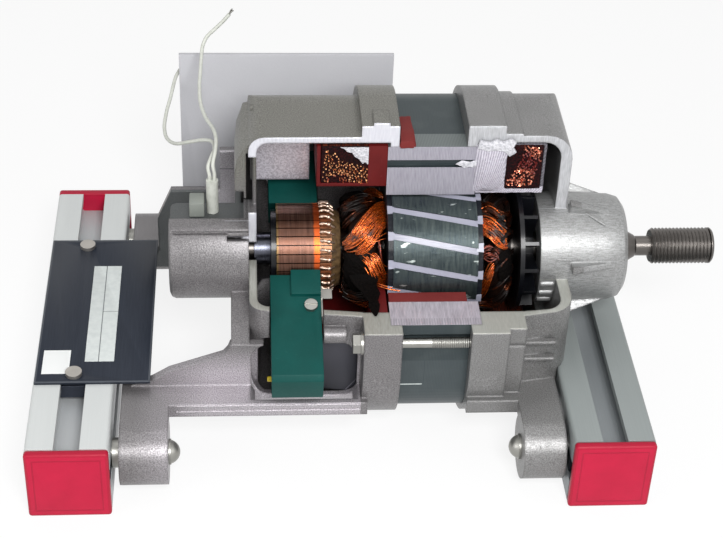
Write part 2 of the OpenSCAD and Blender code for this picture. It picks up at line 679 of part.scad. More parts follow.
// Space that the right rail takes, with a margin round it
module rail_relief(margin) on_floor(sx_right_rail - margin) translate([0, -far / 2, -1])
    cube([far, far, rail_w + margin + 1]);
module right_cavity() difference() {
    right_room();
    rail_relief(rail_relief_gap + right_wall_t);
}
module right_room() {
    section(sx_right_collar - 1, collar_grip + 1) round_rect(core_a + fit, core_b + fit, core_r);
    section(sx_right_collar + collar_grip - eps, sx_step_end - sx_right_collar - collar_grip + 1)
        round_rect(cavity_a, cavity_b, body_r - wall_t);
    difference() {
        along(sx_right_wall) mirror([1, 0, 0])
            shell_block(sx_right_wall - sx_step_end, cavity_a - 1, cavity_a, cavity_b,
                        body_r - wall_t, 8);
        bar(sx_hub, sx_right_wall - sx_hub + 1, hub_r + 1);
    }
}
module right_vents() for (a = [215:25:265])
    along(sx_right_wall - 1) rotate([a, 0, 0]) translate([0, -right_vent_w / 2, hub_r + 7.5])
        cube([right_wall_t + 2, right_vent_w, right_vent_l]);
module right_housing() color([0.64, 0.64, 0.63]) difference() {
    right_housing_solid();
    right_cavity();
    rail_relief(rail_relief_gap);
    bar(sx_right_bearing, rb_w, rb_out + fit);
    bar(sx_hub - 1, sx_right_bearing - sx_hub + 1 + eps, rb_out - 3);
    bar(sx_right_bearing + rb_w - eps, sx_hub_end - sx_right_bearing - rb_w + 1, shoulder_r + 1.4);
    difference() {
        cut_quarter(sx_right_collar - 1, sx_right_wall_end + 1);
        bar(sx_hub - 1, sx_hub_end - sx_hub, hub_r + 1);
    }
    right_vents();
    foot_holes(sx_right_foot, right_foot_l);
    tie_holes(sx_right_collar - 1, collar_l + step_l + 20);
}

// Core and field coils

module core_outline() {
    difference() {
        round_rect(core_a, core_b, core_r);
        round_rect(coil_room_a, coil_room_b, 2.5);
        for (s = [-1, 1]) translate([s * tie_y, s * tie_z]) circle(tie_r + 1.6, $fn = 48);
    }
    difference() {
        union() {
            square([2 * neck_a, 2 * coil_room_b + 2], center = true);
            intersection() {
                circle(bore_r + pole_face_t, $fn = 128);
                polygon([[0, 0], [34, 40], [-34, 40], [34, -40], [-34, -40]]);
                square([60, 80], center = true);
            }
        }
        circle(bore_r, $fn = 128);
    }
}
module core() color([0.27, 0.33, 0.35]) difference() {
    section(sx_stack, stack_l) core_outline();
    cut_quarter(sx_stack - 1, sx_stack_end + 1);
    // slot along the cut pole
    along(sx_stack - 1) translate([0, -cut_front - 1, 46.5]) cube([stack_l - 1, 3, 3.8]);
}
// A field coil over the shaft line: two sides in the core and two ends outside it
coil_side_z0 = bore_r + pole_face_t - 4;
coil_side_w = coil_room_a - neck_a - 5;
module coil_sides(sx, l, gap = 0) for (s = [-1, 1]) section(sx, l)
    translate([s * (neck_a + coil_room_a + 3) / 2, 0])
        translate([-coil_side_w / 2 - gap, coil_side_z0 - gap])
            square([coil_side_w + 2 * gap, coil_room_b - coil_side_z0 - 1.5 + 2 * gap]);
module coil_band(a, z0, z1) intersection() {
    round_rect(a, z1, 18);
    translate([-a, z0]) square([2 * a, z1 - z0]);
}
module field_coil() {
    coil_sides(sx_stack - flange_l - 1, flange_l + stack_l + wrap_l + 2);
    section(sx_stack - coil_end_l, coil_end_l - flange_l)
        coil_band(coil_room_a - 1, coil_left_z0, coil_end_z1);
    section(sx_stack_end + wrap_l, coil_end_r - wrap_l)
        coil_band(coil_room_a - 1, coil_right_z0, coil_end_z1);
}
module opened() difference() {
    children();
    cut_quarter(0, overall_l);
}
module upper_field_coil() color([0.42, 0.16, 0.1]) opened() field_coil();
module lower_field_coil() color([0.42, 0.16, 0.1]) half_turn() field_coil();
// Bobbin under the left end of a coil, with a thick flange beside the core
module bobbin() difference() {
    union() {
        section(sx_stack - coil_end_l - bobbin_t, bobbin_t - seat)
            coil_band(coil_room_a - 1, coil_left_z0 - bobbin_t, coil_end_z1);
        section(sx_stack - coil_end_l - seat - eps, coil_end_l - flange_l + 1)
            coil_band(coil_room_a - 1, coil_left_z0 - bobbin_t, coil_left_z0 - seat);
        section(sx_stack - flange_l + seat, flange_l - 2 * seat)
            coil_band(coil_room_a - 1, coil_left_z0 - bobbin_t, coil_end_z1);
    }
    coil_sides(sx_stack - flange_l - 2, flange_l + 4, seat);
}
module upper_bobbin() color([0.45, 0.12, 0.13]) opened() bobbin();
module lower_bobbin() color([0.45, 0.12, 0.13]) half_turn() bobbin();
// White wrapping beside the core, and round the right end of the cut coil
module coil_wrap() color([0.86, 0.86, 0.86]) opened() difference() {
    section(sx_stack_end + seat, coil_end_r + 1.5)
        coil_band(coil_room_a, coil_right_z0 - 2, coil_end_z1 + 1);
    section(sx_stack_end + wrap_l - seat, coil_end_r - wrap_l + 2 * seat)
        coil_band(coil_room_a - 1 + seat, coil_right_z0 - seat, coil_end_z1 + seat);
    coil_sides(sx_stack_end - 1, wrap_l + 2, seat);
}
// Red-brown insulating strips: along the level cut, and over the edge of the cut core
module slot_paper() color([0.5, 0.2, 0.17]) {
    along(sx_stack + 0.3) translate([0, -coil_room_a + 0.2, -strip_h])
        cube([stack_l - 5, coil_room_a - bore_r - 1, strip_h]);
    along(sx_left_collar_end + seat) translate([0, -cut_front, core_b + seat]) cube([7, 12, 1.4]);
}
module tie_bolts() color("silver") for (s = [-1, 1]) {
    bar(sx_left_collar - tie_washer_t - eps, sx_right_collar_end - sx_left_collar + 6, tie_r,
        s * tie_y, s * tie_z, 32);
    along(sx_left_collar - tie_washer_t - tie_head_h) translate([0, s * tie_y, s * tie_z])
        rotate([0, 90, 0]) cylinder(r = tie_head_r, h = tie_head_h, $fn = 6);
}
module tie_washers() color("silver") for (s = [-1, 1]) along(sx_left_collar - tie_washer_t)
    translate([0, s * tie_y, s * tie_z]) rotate([0, 90, 0]) difference() {
        cylinder(r = tie_head_r + 0.4, h = tie_washer_t, $fn = 48);
        translate([0, 0, -1]) cylinder(r = tie_r + fit, h = tie_washer_t + 2, $fn = 32);
    }

// Brush gear. In a holder's own frame the brush points along +Y to the shaft line

module in_front_holder() along(holder_x) rotate([brush_angle, 0, 0]) children();
module in_rear_holder() along(holder_x) rotate([180 + brush_angle, 0, 0]) children();
module holder_shape() difference() {
    union() {
        translate([-holder_w / 2, -holder_r0 - holder_l, -holder_t / 2])
            cube([holder_w, holder_l, holder_t]);
        // tongue that reaches over the commutator
        translate([-2, -holder_r0 - 12, holder_t / 2 - 3]) cube([holder_w / 2 + 2, 17, 5.5]);
    }
    rotate([0, 90, 0]) cylinder(r = comm_r + 1, h = 60, center = true, $fn = 96);
    translate([-channel_w / 2, -holder_r0 - holder_l + holder_end_wall, -channel_t / 2])
        cube([channel_w, holder_l, channel_t]);
    // chamfer at the outer end
    translate([0, -holder_r0 - holder_l, holder_t / 2]) rotate([45, 0, 0])
        cube([holder_w + 2, 3, 3], center = true);
    translate([0, 0, -holder_screw_l - 0.2]) at_holder_screw()
        cylinder(r = holder_screw_r + seat, h = 2 * holder_screw_l, $fn = 32);
}
module at_holder_screw()
    translate([holder_w / 2 - 4.5, -holder_r0 - 17, holder_t / 2]) children();
module front_brush_holder() color([0.1, 0.36, 0.32]) in_front_holder() holder_shape();
module rear_brush_holder() color([0.1, 0.36, 0.32]) in_rear_holder() holder_shape();
module brush_shape() difference() {
    translate([-brush_w / 2, -brush_r0 - brush_l, -brush_t / 2])
        cube([brush_w, brush_l + 2, brush_t]);
    rotate([0, 90, 0]) cylinder(r = brush_r0, h = 60, center = true, $fn = 128);
}
module front_brush() color([0.15, 0.15, 0.16]) in_front_holder() brush_shape();
module rear_brush() color([0.15, 0.15, 0.16]) in_rear_holder() brush_shape();
module spring_shape() translate([0, -spring_r0, 0]) rotate([90, 0, 0]) difference() {
    cylinder(r = channel_t / 2 - 0.2, h = spring_r1 - spring_r0, $fn = 32);
    translate([0, 0, -1]) cylinder(r = channel_t / 2 - 1, h = spring_r1 - spring_r0 + 2, $fn = 32);
}
module front_brush_spring() color("silver") in_front_holder() spring_shape();
module rear_brush_spring() color("silver") in_rear_holder() spring_shape();
module screw_in_holder() at_holder_screw() {
    translate([0, 0, -holder_screw_l]) cylinder(r = holder_screw_r, h = holder_screw_l + eps, $fn = 32);
    difference() {
        cylinder(r = holder_head_r, h = 1.8, $fn = 48);
        translate([-holder_head_r - 1, -0.4, 1]) cube([2 * holder_head_r + 2, 0.8, 2]);
    }
}
module holder_screws() color("silver") {
    in_front_holder() screw_in_holder();
    in_rear_holder() screw_in_holder();
}
// Flat terminal on the side of each holder
module terminal_shape() translate([holder_w / 2 + fit, -holder_r0 - 20, -2]) {
    cube([terminal_t, terminal_l, terminal_w]);
    translate([0, terminal_l - tab_w - 2, terminal_w - 0.1]) cube([tab_w, tab_w, terminal_t]);
}
module brush_terminals() color("silver") {
    in_front_holder() terminal_shape();
    in_rear_holder() terminal_shape();
}

// Bearings

ring_t = 0.24;
function ring_w(r0, r1) = (r1 - r0) * ring_t;
function ball_path_r(r0, r1) = (r0 + r1) / 2;
function ball_size(r0, r1) = (r1 - r0) * 0.3;
module race_groove(r0, r1, w)
    rotate_extrude($fn = 96) translate([ball_path_r(r0, r1), w / 2])
        circle(ball_size(r0, r1) + ball_gap, $fn = 48);
module outer_ring(sx, r0, r1, w) along(sx) rotate([0, 90, 0]) difference() {
    cylinder(r = r1, h = w, $fn = 96);
    translate([0, 0, -1]) cylinder(r = r1 - ring_w(r0, r1), h = w + 2, $fn = 96);
    race_groove(r0, r1, w);
}
module inner_ring(sx, r0, r1, w) along(sx) rotate([0, 90, 0]) difference() {
    cylinder(r = r0 + ring_w(r0, r1), h = w, $fn = 96);
    translate([0, 0, -1]) cylinder(r = r0, h = w + 2, $fn = 96);
    race_groove(r0, r1, w);
}
// Balls in a pressed cage that runs beside them
module ball_set(sx, r0, r1, w) along(sx) rotate([0, 90, 0]) {
    rp = ball_path_r(r0, r1);
    rb = ball_size(r0, r1);
    for (i = [0:balls - 1]) rotate(i * 360 / balls) translate([rp, 0, w / 2]) sphere(r = rb, $fn = 48);
    difference() {
        translate([0, 0, w / 2 - 0.5 * rb]) cylinder(r = rp + 0.12 * (r1 - r0), h = rb, $fn = 96);
        translate([0, 0, -1]) cylinder(r = rp - 0.12 * (r1 - r0), h = w + 2, $fn = 96);
        for (i = [0:balls - 1]) rotate(i * 360 / balls) translate([rp, 0, w / 2])
            sphere(r = rb + 0.06, $fn = 48);
    }
}
module left_bearing_outer() color("silver") outer_ring(sx_left_bearing, lb_in, lb_out, lb_w);
module left_bearing_inner() color("silver") inner_ring(sx_left_bearing, lb_in, lb_out, lb_w);
module left_ball_set() color("silver") ball_set(sx_left_bearing, lb_in, lb_out, lb_w);
module right_bearing_outer() color("silver") outer_ring(sx_right_bearing, rb_in, rb_out, rb_w);
module right_bearing_inner() color("silver") inner_ring(sx_right_bearing, rb_in, rb_out, rb_w);
module right_ball_set() color("silver") ball_set(sx_right_bearing, rb_in, rb_out, rb_w);

// Speed sensor in the left boss, with its socket and leads

sensor_l = 10;
socket_y = 12;
module sensor_coil() color([0.2, 0.2, 0.22])
    tube(sx_left_bearing - 4 - sensor_l, sensor_l, sensor_room_r - 4.5, sensor_room_r - fit);
module sensor_magnet() color([0.25, 0.25, 0.27])
    tube(sx_shaft + 0.5, 8, lb_in - 0.6, sensor_room_r - 5.2);
module sensor_cap() color([0.2, 0.2, 0.22]) {
    tube(sx_boss + 0.4, 3, 0, sensor_room_r - fit);
}
module sensor_socket() color([0.6, 0.62, 0.62])
    along(sx_boss + 8.7) translate([0, socket_y - 5, recess_z]) cube([6.7, 9, 7.3]);
module lead_sleeve() color([0.85, 0.87, 0.83])
    along(sx_boss + 19) translate([0, socket_y, recess_z]) cylinder(r = 2.7, h = 16.6, $fn = 32);

function unit(v) = v / norm(v);
// One unbroken tube along points, closed by flat ends
module swept(path, r, sides, side_way = [0.31, 0.89, 0.33]) {
    n = len(path);
    dirs = [for (i = [0:n - 1]) unit(path[min(i + 1, n - 1)] - path[max(i - 1, 0)])];
    rings = [for (i = [0:n - 1]) let (d = dirs[i], u = unit(cross(d, side_way)), v = cross(d, u))
             for (k = [0:sides - 1]) path[i] + r * (u * cos(360 * k / sides) + v * sin(360 * k / sides))];
    polyhedron(points = rings, convexity = 10, faces = concat(
        [[for (k = [0:sides - 1]) k]],
        [for (i = [0:n - 2], k = [0:sides - 1]) let (a = i * sides + k, b = i * sides + (k + 1) % sides)
            [a, a + sides, b]],
        [for (i = [0:n - 2], k = [0:sides - 1]) let (a = i * sides + k, b = i * sides + (k + 1) % sides)
            [b, a + sides, b + sides]],
        [[for (k = [sides - 1:-1:0]) (n - 1) * sides + k]]));
}
// A curve through the points of a route, with one more point in each stretch
function eased(p) = let (m = len(p) - 1) [for (i = [0:m - 1]) each
    [p[i], (p[i] + p[i + 1]) * 9 / 16 - (p[max(i - 1, 0)] + p[min(i + 2, m)]) / 16], p[m]];
module lead_upper() color("white") swept(eased(lead_upper_path), lead_r, 8, [1, 0, 0]);
module lead_looped() color("white") swept(eased(lead_looped_path), lead_r, 8, [1, 0, 0]);

// Rear panel, screwed to the rear feet and ledge

panel_tabs = [panel_tab_left, panel_w - panel_tab_right];
bracket_y = panel_y - ledge_y;
panel_tab_t = 1.5;
panel_screw_r = 1.6;
module rear_panel() color([0.75, 0.75, 0.77]) difference() {
    union() {
        on_floor(panel_x) translate([0, panel_y, panel_z]) cube([panel_w, panel_t, panel_h]);
        // two folded tabs that reach forward to the ledge
        for (x = panel_tabs) on_floor(panel_x + x - panel_tab_w / 2)
            translate([0, ledge_y, ledge_top]) cube([panel_tab_w, bracket_y + eps, panel_tab_t]);
    }
    for (x = panel_tabs) on_floor(panel_x + x) translate([0, ledge_y + panel_screw_y, ledge_top - 1])
        cylinder(r = panel_screw_r + seat, h = panel_tab_t + 2, $fn = 32);
}
module panel_screws() color("silver") for (x = panel_tabs)
    on_floor(panel_x + x) translate([0, ledge_y + panel_screw_y, ledge_top]) {
        translate([0, 0, panel_tab_t]) cylinder(r = 2 * panel_screw_r, h = 1.6, $fn = 48);
        cylinder(r = panel_screw_r, h = panel_tab_t + eps, $fn = 32);
    }

// Rotor

module shaft() color([0.7, 0.7, 0.7]) {
    pitch = rib_end_l / (grooves + 1);
    turned(0, concat(
        [[0, sx_shaft], [lb_in - 0.6, sx_shaft], [lb_in - 0.6, sx_left_bearing - 1],
         [lb_in, sx_left_bearing - 1], [lb_in, sx_left_bearing + lb_w], [lb_in + 1, sx_left_bearing + lb_w],
         [lb_in + 1, sx_end_ring], [shaft_r, sx_end_ring], [shaft_r, sx_right_bearing - 2],
         [shaft_r, sx_right_bearing], [rb_in, sx_right_bearing],
         [rb_in, sx_right_bearing + rb_w + 1], [shoulder_r, sx_right_bearing + rb_w + 1],
         [shoulder_r, sx_hub_end + 2.4], [neck_r + 0.6, sx_neck], [neck_r, sx_neck + 0.6],
         [neck_r, sx_ribs], [rib_r - groove_d, sx_ribs]],
        [for (i = [0:grooves - 1]) each [[rib_r, sx_ribs + (i + 0.75) * pitch],
                                         [rib_r - groove_d, sx_ribs + (i + 1) * pitch]]],
        [[rib_r, overall_l - 0.75 * pitch], [rib_r, overall_l - 0.8], [rib_r - 0.8, overall_l], [0, overall_l]]));
}
module shaft_spacer() color([0.5, 0.5, 0.52]) tube(sx_spacer, sx_end_ring - sx_spacer, lb_in + 1, spacer_r);

// Outline of the rotor core with its slots, in the plane across the shaft
module slot_outline() {
    translate([rotor_r - 3, -slot_mouth / 2]) square([5, slot_mouth]);
    polygon([[rotor_r - 2, -slot_mouth / 2], [rotor_r - 2, slot_mouth / 2],
             [rotor_r - 4.4, 3.2], [rotor_r - rotor_slot_d, 1.9], [rotor_r - rotor_slot_d - 1.2, 0],
             [rotor_r - rotor_slot_d, -1.9], [rotor_r - 4.4, -3.2]]);
}
module twisted(l) along(sx_rotor) rotate([0, 90, 0]) linear_extrude(l, twist = -skew, slices = 6) children();
module rotor_core() color([0.25, 0.3, 0.32]) difference() {
    twisted(rotor_l) difference() {
        circle(rotor_r, $fn = slots * 6);
        for (i = [0:slots - 1]) rotate(i * 360 / slots) slot_outline();
    }
    bar(sx_rotor - 1, rotor_l + 2, shaft_r + fit);
}
module slot_wedges() color([0.8, 0.8, 0.87]) twisted(rotor_l) for (i = [0:slots - 1]) rotate(i * 360 / slots)
    polygon([[rotor_r - 1.9, -slot_mouth / 2 + 0.12], [rotor_r - 0.5, -slot_mouth / 2 + 0.12],
             [rotor_r - 0.5, slot_mouth / 2 - 0.12], [rotor_r - 1.9, slot_mouth / 2 - 0.12]]);

// A winding head: a ring of resin and wire, with slanted bundles wound round it
head_gap = 0.12;
turn_steps = 22;
function head_mid(r_out) = (r_out + shaft_r + 2.6) / 2;
function head_half(r_out) = (r_out - shaft_r - 2.6) / 2;
// Points of a bundle of radius rb round a head of length l and outer radius r_out
function head_path(sx, l, r_out, rb) = let (steps = slots * turn_steps,
    ra = head_half(r_out) - rb, xa = l / 2 - rb)
    [for (i = [0:steps - 2]) let (t = i / steps, q = 360 * slots * t,
        f = 360 * t + bundle_slant * cos(q),
        r = head_mid(r_out) + ra * sin(q), x = sx + l / 2 - xa * cos(q))
        [x - overall_l / 2, r * cos(f), axis_h + r * sin(f)]];
module head_core(sx, l, r_out, rb, sx_plate) {
    ra = head_half(r_out) - 2 * rb - head_gap;
    xa = l / 2 - 2 * rb - head_gap;
    turned(sx + l / 2, [for (i = [0:31]) let (q = 360 * i / 32)
                        [head_mid(r_out) + ra * sin(q), xa * cos(q)]]);
    tube(sx, l, shaft_r, shaft_r + 2.2);
    tube(sx_plate, end_plate_t, shaft_r, rotor_r - 1);
}
left_head_path = head_path(sx_left_head, left_head_l, left_head_r, left_bundle_r);
right_head_path = head_path(sx_right_head, right_head_l, right_head_r, right_bundle_r);
module left_head_core() color([0.2, 0.1, 0.06])
    head_core(sx_left_head, left_head_l, left_head_r, left_bundle_r, sx_rotor - end_plate_t);
module left_winding() color([0.75, 0.38, 0.15]) swept(left_head_path, left_bundle_r, 6);
module right_head_core() color([0.2, 0.1, 0.06])
    head_core(sx_right_head, right_head_l, right_head_r, right_bundle_r, sx_rotor_end);
module right_winding() color([0.75, 0.38, 0.15]) swept(right_head_path, right_bundle_r, 6);
// Least gap between a bundle and its next turns, measured on points
function least_gap(path, rb) = min([for (i = [0:len(path) - 1], k = [turn_steps / 2:turn_steps * 3 / 2])
    if (i + k < len(path)) norm(path[i] - path[i + k])]) - 2 * rb;
echo(left_winding_gap = least_gap(left_head_path, left_bundle_r));
echo(right_winding_gap = least_gap(right_head_path, right_bundle_r));

// Commutator

hub_out = comm_r - 5;
module bar_outline(r1) intersection() {
    difference() {
        circle(r1, $fn = 128);
        circle(hub_out, $fn = 96);
    }
    polygon([[hub_out - 2, -bar_half(hub_out - 2)], [r1 + 2, -bar_half(r1 + 2)],
             [r1 + 2, bar_half(r1 + 2)], [hub_out - 2, bar_half(hub_out - 2)]]);
}
function bar_half(r) = r * tan(180 / bars) - bar_gap / 2;
module commutator_bars() color([0.62, 0.42, 0.34]) for (i = [0:bars - 1])
    along(sx_bars) rotate([i * 360 / bars, 0, 0]) rotate([0, 90, 0]) {
        linear_extrude(bar_l + eps) bar_outline(comm_r);
        translate([0, 0, bar_l]) linear_extrude(hook_l) bar_outline(comm_r - 1.2);
        translate([comm_r - 1.3, -0.8, bar_l + 0.4]) cube([1.7, 1.6, hook_l - 0.6]);
    }
module commutator_hub() color([0.3, 0.2, 0.12]) tube(sx_bars, bar_l + hook_l, shaft_r, hub_out - fit);
module commutator_end_ring() color([0.1, 0.1, 0.12])
    tube(sx_end_ring, end_ring_l, shaft_r, comm_r - 2.5);
module commutator_resin() color([0.5, 0.42, 0.25])
    turned(sx_resin, [[shaft_r, 0], [comm_r - 1.4, 0], [comm_r - 4, resin_l], [shaft_r, resin_l]]);

// Fan

module fan() color([0.08, 0.08, 0.1]) {
    difference() {
        union() {
            bar(sx_fan, 2, fan_r);
            bar(sx_fan, fan_l, shaft_r + 3);
        }
        bar(sx_fan - 1, fan_l + 2, shaft_r);
    }
    for (i = [0:blades - 1]) along(sx_fan + 2 - eps) rotate([i * 360 / blades, 0, 0])
        translate([0, -0.8, shaft_r + 2.8]) cube([fan_l - 2.4, 1.6, fan_r - shaft_r - 3.4]);
}

left_rail();
right_rail();
left_front_cap();
left_rear_cap();
right_front_cap();
right_rear_cap();
nameplate();
nameplate_screws();
nameplate_nuts();
foot_bolts();
foot_spacers();
foot_nuts();
left_housing();
right_housing();
core();
upper_field_coil();
lower_field_coil();
upper_bobbin();
lower_bobbin();
coil_wrap();
slot_paper();
tie_bolts();
tie_washers();
front_brush_holder();
rear_brush_holder();
front_brush();
rear_brush();
front_brush_spring();
rear_brush_spring();
holder_screws();
brush_terminals();
left_bearing_outer();
right_bearing_outer();
sensor_coil();
sensor_cap();
sensor_socket();
lead_sleeve();
lead_upper();
lead_looped();
rear_panel();
panel_screws();
shaft();
shaft_spacer();
rotor_core();
slot_wedges();
left_head_core();
left_winding();
right_head_core();
right_winding();
commutator_bars();
commutator_hub();
commutator_end_ring();
commutator_resin();
fan();
left_bearing_inner();
right_bearing_inner();
sensor_magnet();
left_ball_set();
right_ball_set();
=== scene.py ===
"""Dresses the sectioned motor on its two rails: finishes, windings, wire ends, leads and light."""
import json
import random
from math import cos, degrees, pi, radians, sin

import bmesh
import bpy
from mathutils import Matrix, Vector


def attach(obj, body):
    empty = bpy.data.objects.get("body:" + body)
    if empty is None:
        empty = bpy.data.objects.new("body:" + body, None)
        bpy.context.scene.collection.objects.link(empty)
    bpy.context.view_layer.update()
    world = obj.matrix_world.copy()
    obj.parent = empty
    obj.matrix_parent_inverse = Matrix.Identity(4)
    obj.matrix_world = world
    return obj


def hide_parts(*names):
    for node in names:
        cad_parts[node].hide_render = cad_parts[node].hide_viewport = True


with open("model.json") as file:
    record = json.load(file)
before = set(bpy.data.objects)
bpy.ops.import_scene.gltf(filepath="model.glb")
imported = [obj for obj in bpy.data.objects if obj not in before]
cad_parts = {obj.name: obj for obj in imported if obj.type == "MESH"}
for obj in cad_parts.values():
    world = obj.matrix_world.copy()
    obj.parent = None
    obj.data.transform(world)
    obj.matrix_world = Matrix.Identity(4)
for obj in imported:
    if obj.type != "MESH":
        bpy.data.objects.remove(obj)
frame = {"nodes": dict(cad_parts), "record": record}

MM = 0.001
SHAFT_Z = 0.069
HALF_LENGTH = 152.3
CUT_Y = -5.0
BOSS_CUT_SX = 83.4
LEFT_WALL_SX = 93.9
COLLAR_SX = 142.4
RIGHT_WALL_SX = 235
RAIL_W = 35
RIGHT_RAIL_SX = 230.9
CAP_FACE_Y = 96.9
CORE_FRONT_Y = -55.5
ROTOR_ENDS = 156.6, 193.6
SLOTS = 16
BARS = 32
HEAD_REPEATS = 3
CAMERA_PLACE = -0.0614, -0.6246, 0.5264
CAMERA_YAW, CAMERA_PITCH, CAMERA_ROLL = 4.971, 36.824, 2.518
CAMERA_LENS = 85.68
LAMP_TARGET = 0.0, 0.0, 0.06
NODES = frame["nodes"]
SCENE = bpy.context.scene
BODY_OF = {node: body for body, nodes in frame["record"]["behaviour"]["bodies"].items() for node in nodes}
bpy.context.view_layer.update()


def at(sx, y, z):
    """A point from its place along the shaft, depth and height over the shaft line, in mm."""
    return Vector(((sx - HALF_LENGTH) * MM, y * MM, SHAFT_Z + z * MM))


def around(sx, radius, turn):
    """A point on a circle round the shaft; 0 degrees is the rear, 90 the top, 180 the open side."""
    a = radians(turn)
    return at(sx, radius * cos(a), radius * sin(a))


# Camera

def stand_camera():
    """The camera at the angle of the picture."""
    yaw, pitch, roll = (radians(a) for a in (CAMERA_YAW, CAMERA_PITCH, CAMERA_ROLL))
    forward = Vector((sin(yaw) * cos(pitch), cos(yaw) * cos(pitch), -sin(pitch)))
    side = Vector((cos(yaw), -sin(yaw), 0))
    above = side.cross(forward)
    right = cos(roll) * side + sin(roll) * above
    up = -sin(roll) * side + cos(roll) * above
    camera = bpy.data.objects.new("camera", bpy.data.cameras.new("camera"))
    camera.data.lens = CAMERA_LENS
    camera.data.sensor_width = 36
    camera.data.clip_start = 0.01
    turn = Matrix((right, up, -forward)).transposed().to_4x4()
    camera.matrix_world = Matrix.Translation(CAMERA_PLACE) @ turn
    SCENE.collection.objects.link(camera)
    SCENE.camera = camera


# Node writing

def set_all(made, settings):
    """Gives a new node or modifier its settings."""
    for key, value in settings.items():
        setattr(made, key, value)


def feed(tree, socket, value):
    """Links a tone or a socket, or sets a plain value."""
    value = getattr(value, "socket", value)
    if isinstance(value, bpy.types.NodeSocket):
        tree.links.new(value, socket)
    else:
        socket.default_value = value


def write_node(tree, kind, inputs, **settings):
    """A new node; its inputs come in order or by name, its settings by name."""
    made = tree.nodes.new(kind)
    set_all(made, settings)
    for key, value in inputs.items() if isinstance(inputs, dict) else enumerate(inputs):
        feed(tree, made.inputs[key], value)
    return made


def maths(kind, swapped=False):
    """A method that writes one Math node for a tone and another tone or number."""
    def method(self, other=0.0):
        return self.finish.node("Math", [other, self] if swapped else [self, other], operation=kind)
    return method


class Tone:
    """A shader socket that takes part in plain arithmetic."""

    def __init__(self, finish, socket):
        self.finish, self.socket = finish, socket

    __add__ = __radd__ = maths("ADD")
    __sub__, __rsub__ = maths("SUBTRACT"), maths("SUBTRACT", True)
    __mul__ = __rmul__ = maths("MULTIPLY")
    __gt__, __lt__, __abs__ = maths("GREATER_THAN"), maths("LESS_THAN"), maths("ABSOLUTE")
    highest, lowest, sine = maths("MAXIMUM"), maths("MINIMUM"), maths("SINE")
    # the angle whose tangent is this over the other, in radians
    turn_over = maths("ARCTAN2")

    def within(self, low, high):
        return (self > low) * (self < high)

    def near(self, place, reach):
        return abs(self - place) < reach

    def ripple(self, pitch):
        """A wave from 0 to 1 with this pitch."""
        return (self * (2 * pi / pitch)).sine() * 0.5 + 0.5


def paint(colour):
    """Three numbers from 0 to 255, as a colour is seen, in the shader's own; others stay as they are."""
    if not isinstance(colour, tuple) or len(colour) != 3:
        return colour
    share = [v / 255 for v in colour]
    return tuple(c / 12.92 if c <= 0.04045 else ((c + 0.055) / 1.055) ** 2.4 for c in share) + (1.0,)


def times(colour, factor, lift=0.0):
    """A seen colour made darker or paler, as the shader's own numbers."""
    return tuple(min(1, c * factor + lift) for c in paint(colour)[:3]) + (1.0,)


class Finish:
    """One procedural material, written from the object's own coordinates in mm."""

    def __init__(self, name):
        self.material = bpy.data.materials.new(name)
        self.material.use_nodes = True
        self.tree = self.material.node_tree
        self.shader = self.tree.nodes["Principled BSDF"]
        own = self.node("TexCoord", out="Object")
        self.place = self.node("VectorMath", {0: own, "Scale": 1000.0}, operation="SCALE")
        split = self.node("SeparateXYZ", [self.place])
        self.x, self.y, self.z = (Tone(self, split.socket.node.outputs[i]) for i in range(3))
        self.sx = self.x + HALF_LENGTH
        self.rise = self.z - SHAFT_Z / MM  # height over the shaft

    def node(self, kind, inputs=(), out=0, **settings):
        return Tone(self, write_node(self.tree, "ShaderNode" + kind, inputs, **settings).outputs[out])

    def noise(self, size, detail, seed=0.0):
        """Soft noise from 0 to 1; size in mm is one number, or one for each axis."""
        sizes = (size,) * 3 if isinstance(size, (int, float)) else size
        moved = self.node("VectorMath", [self.place, tuple(1 / s for s in sizes)], operation="MULTIPLY")
        if seed:
            moved = self.node("VectorMath", [moved, (seed, -seed, 2 * seed)], operation="ADD")
        return self.node("TexNoise", {"Vector": moved, "Scale": 1.0, "Detail": detail})

    def ramp(self, value, low, high):
        """Stretches the span from low to high to 0 to 1, and stops there."""
        return self.node("MapRange", [value, low, high], clamp=True)

    def cloud(self, size, detail, low, high, seed=0.0):
        """Noise stretched from low to high."""
        return self.ramp(self.noise(size, detail, seed), low, high)

    def mix(self, share, a, b):
        return self.node("Mix", {0: share, 6: paint(a), 7: paint(b)}, 2, data_type="RGBA")

    def lay(self, share, colour):
        """Lays a colour, or a mixed tone, over the base as far as the share says."""
        self.base = self.mix(share, self.base, colour)

    def done(self, rough, metal, height, depth, coat=0.0, edge=0.0, gloss=0.5):
        """Feeds the shader. depth is the bump's height in mm, edge the radius of a softened edge in mm."""
        for label, value in (("Base Color", self.base), ("Roughness", rough), ("Metallic", metal),
                             ("Coat Weight", coat), ("Coat Roughness", 0.15), ("Specular IOR Level", gloss)):
            feed(self.tree, self.shader.inputs[label], value)
        bump = {"Height": height, "Distance": depth * MM, "Strength": 1.0}
        if edge:
            bump["Normal"] = self.node("Bevel", {"Radius": edge * MM}, samples=4)
        feed(self.tree, self.shader.inputs["Normal"], self.node("Bump", bump))
        return self.material


# Finishes

def cut_of(f):
    """Masks for the two faces that the quarter cut leaves: the upright one and the level one."""
    upright = f.y.near(CUT_Y, 0.12) * (f.rise > 0.1) * f.sx.within(BOSS_CUT_SX, RIGHT_WALL_SX)
    level = f.rise.near(0, 0.12) * (f.y < CUT_Y + 0.05) * f.sx.within(LEFT_WALL_SX, RIGHT_WALL_SX)
    return upright, level


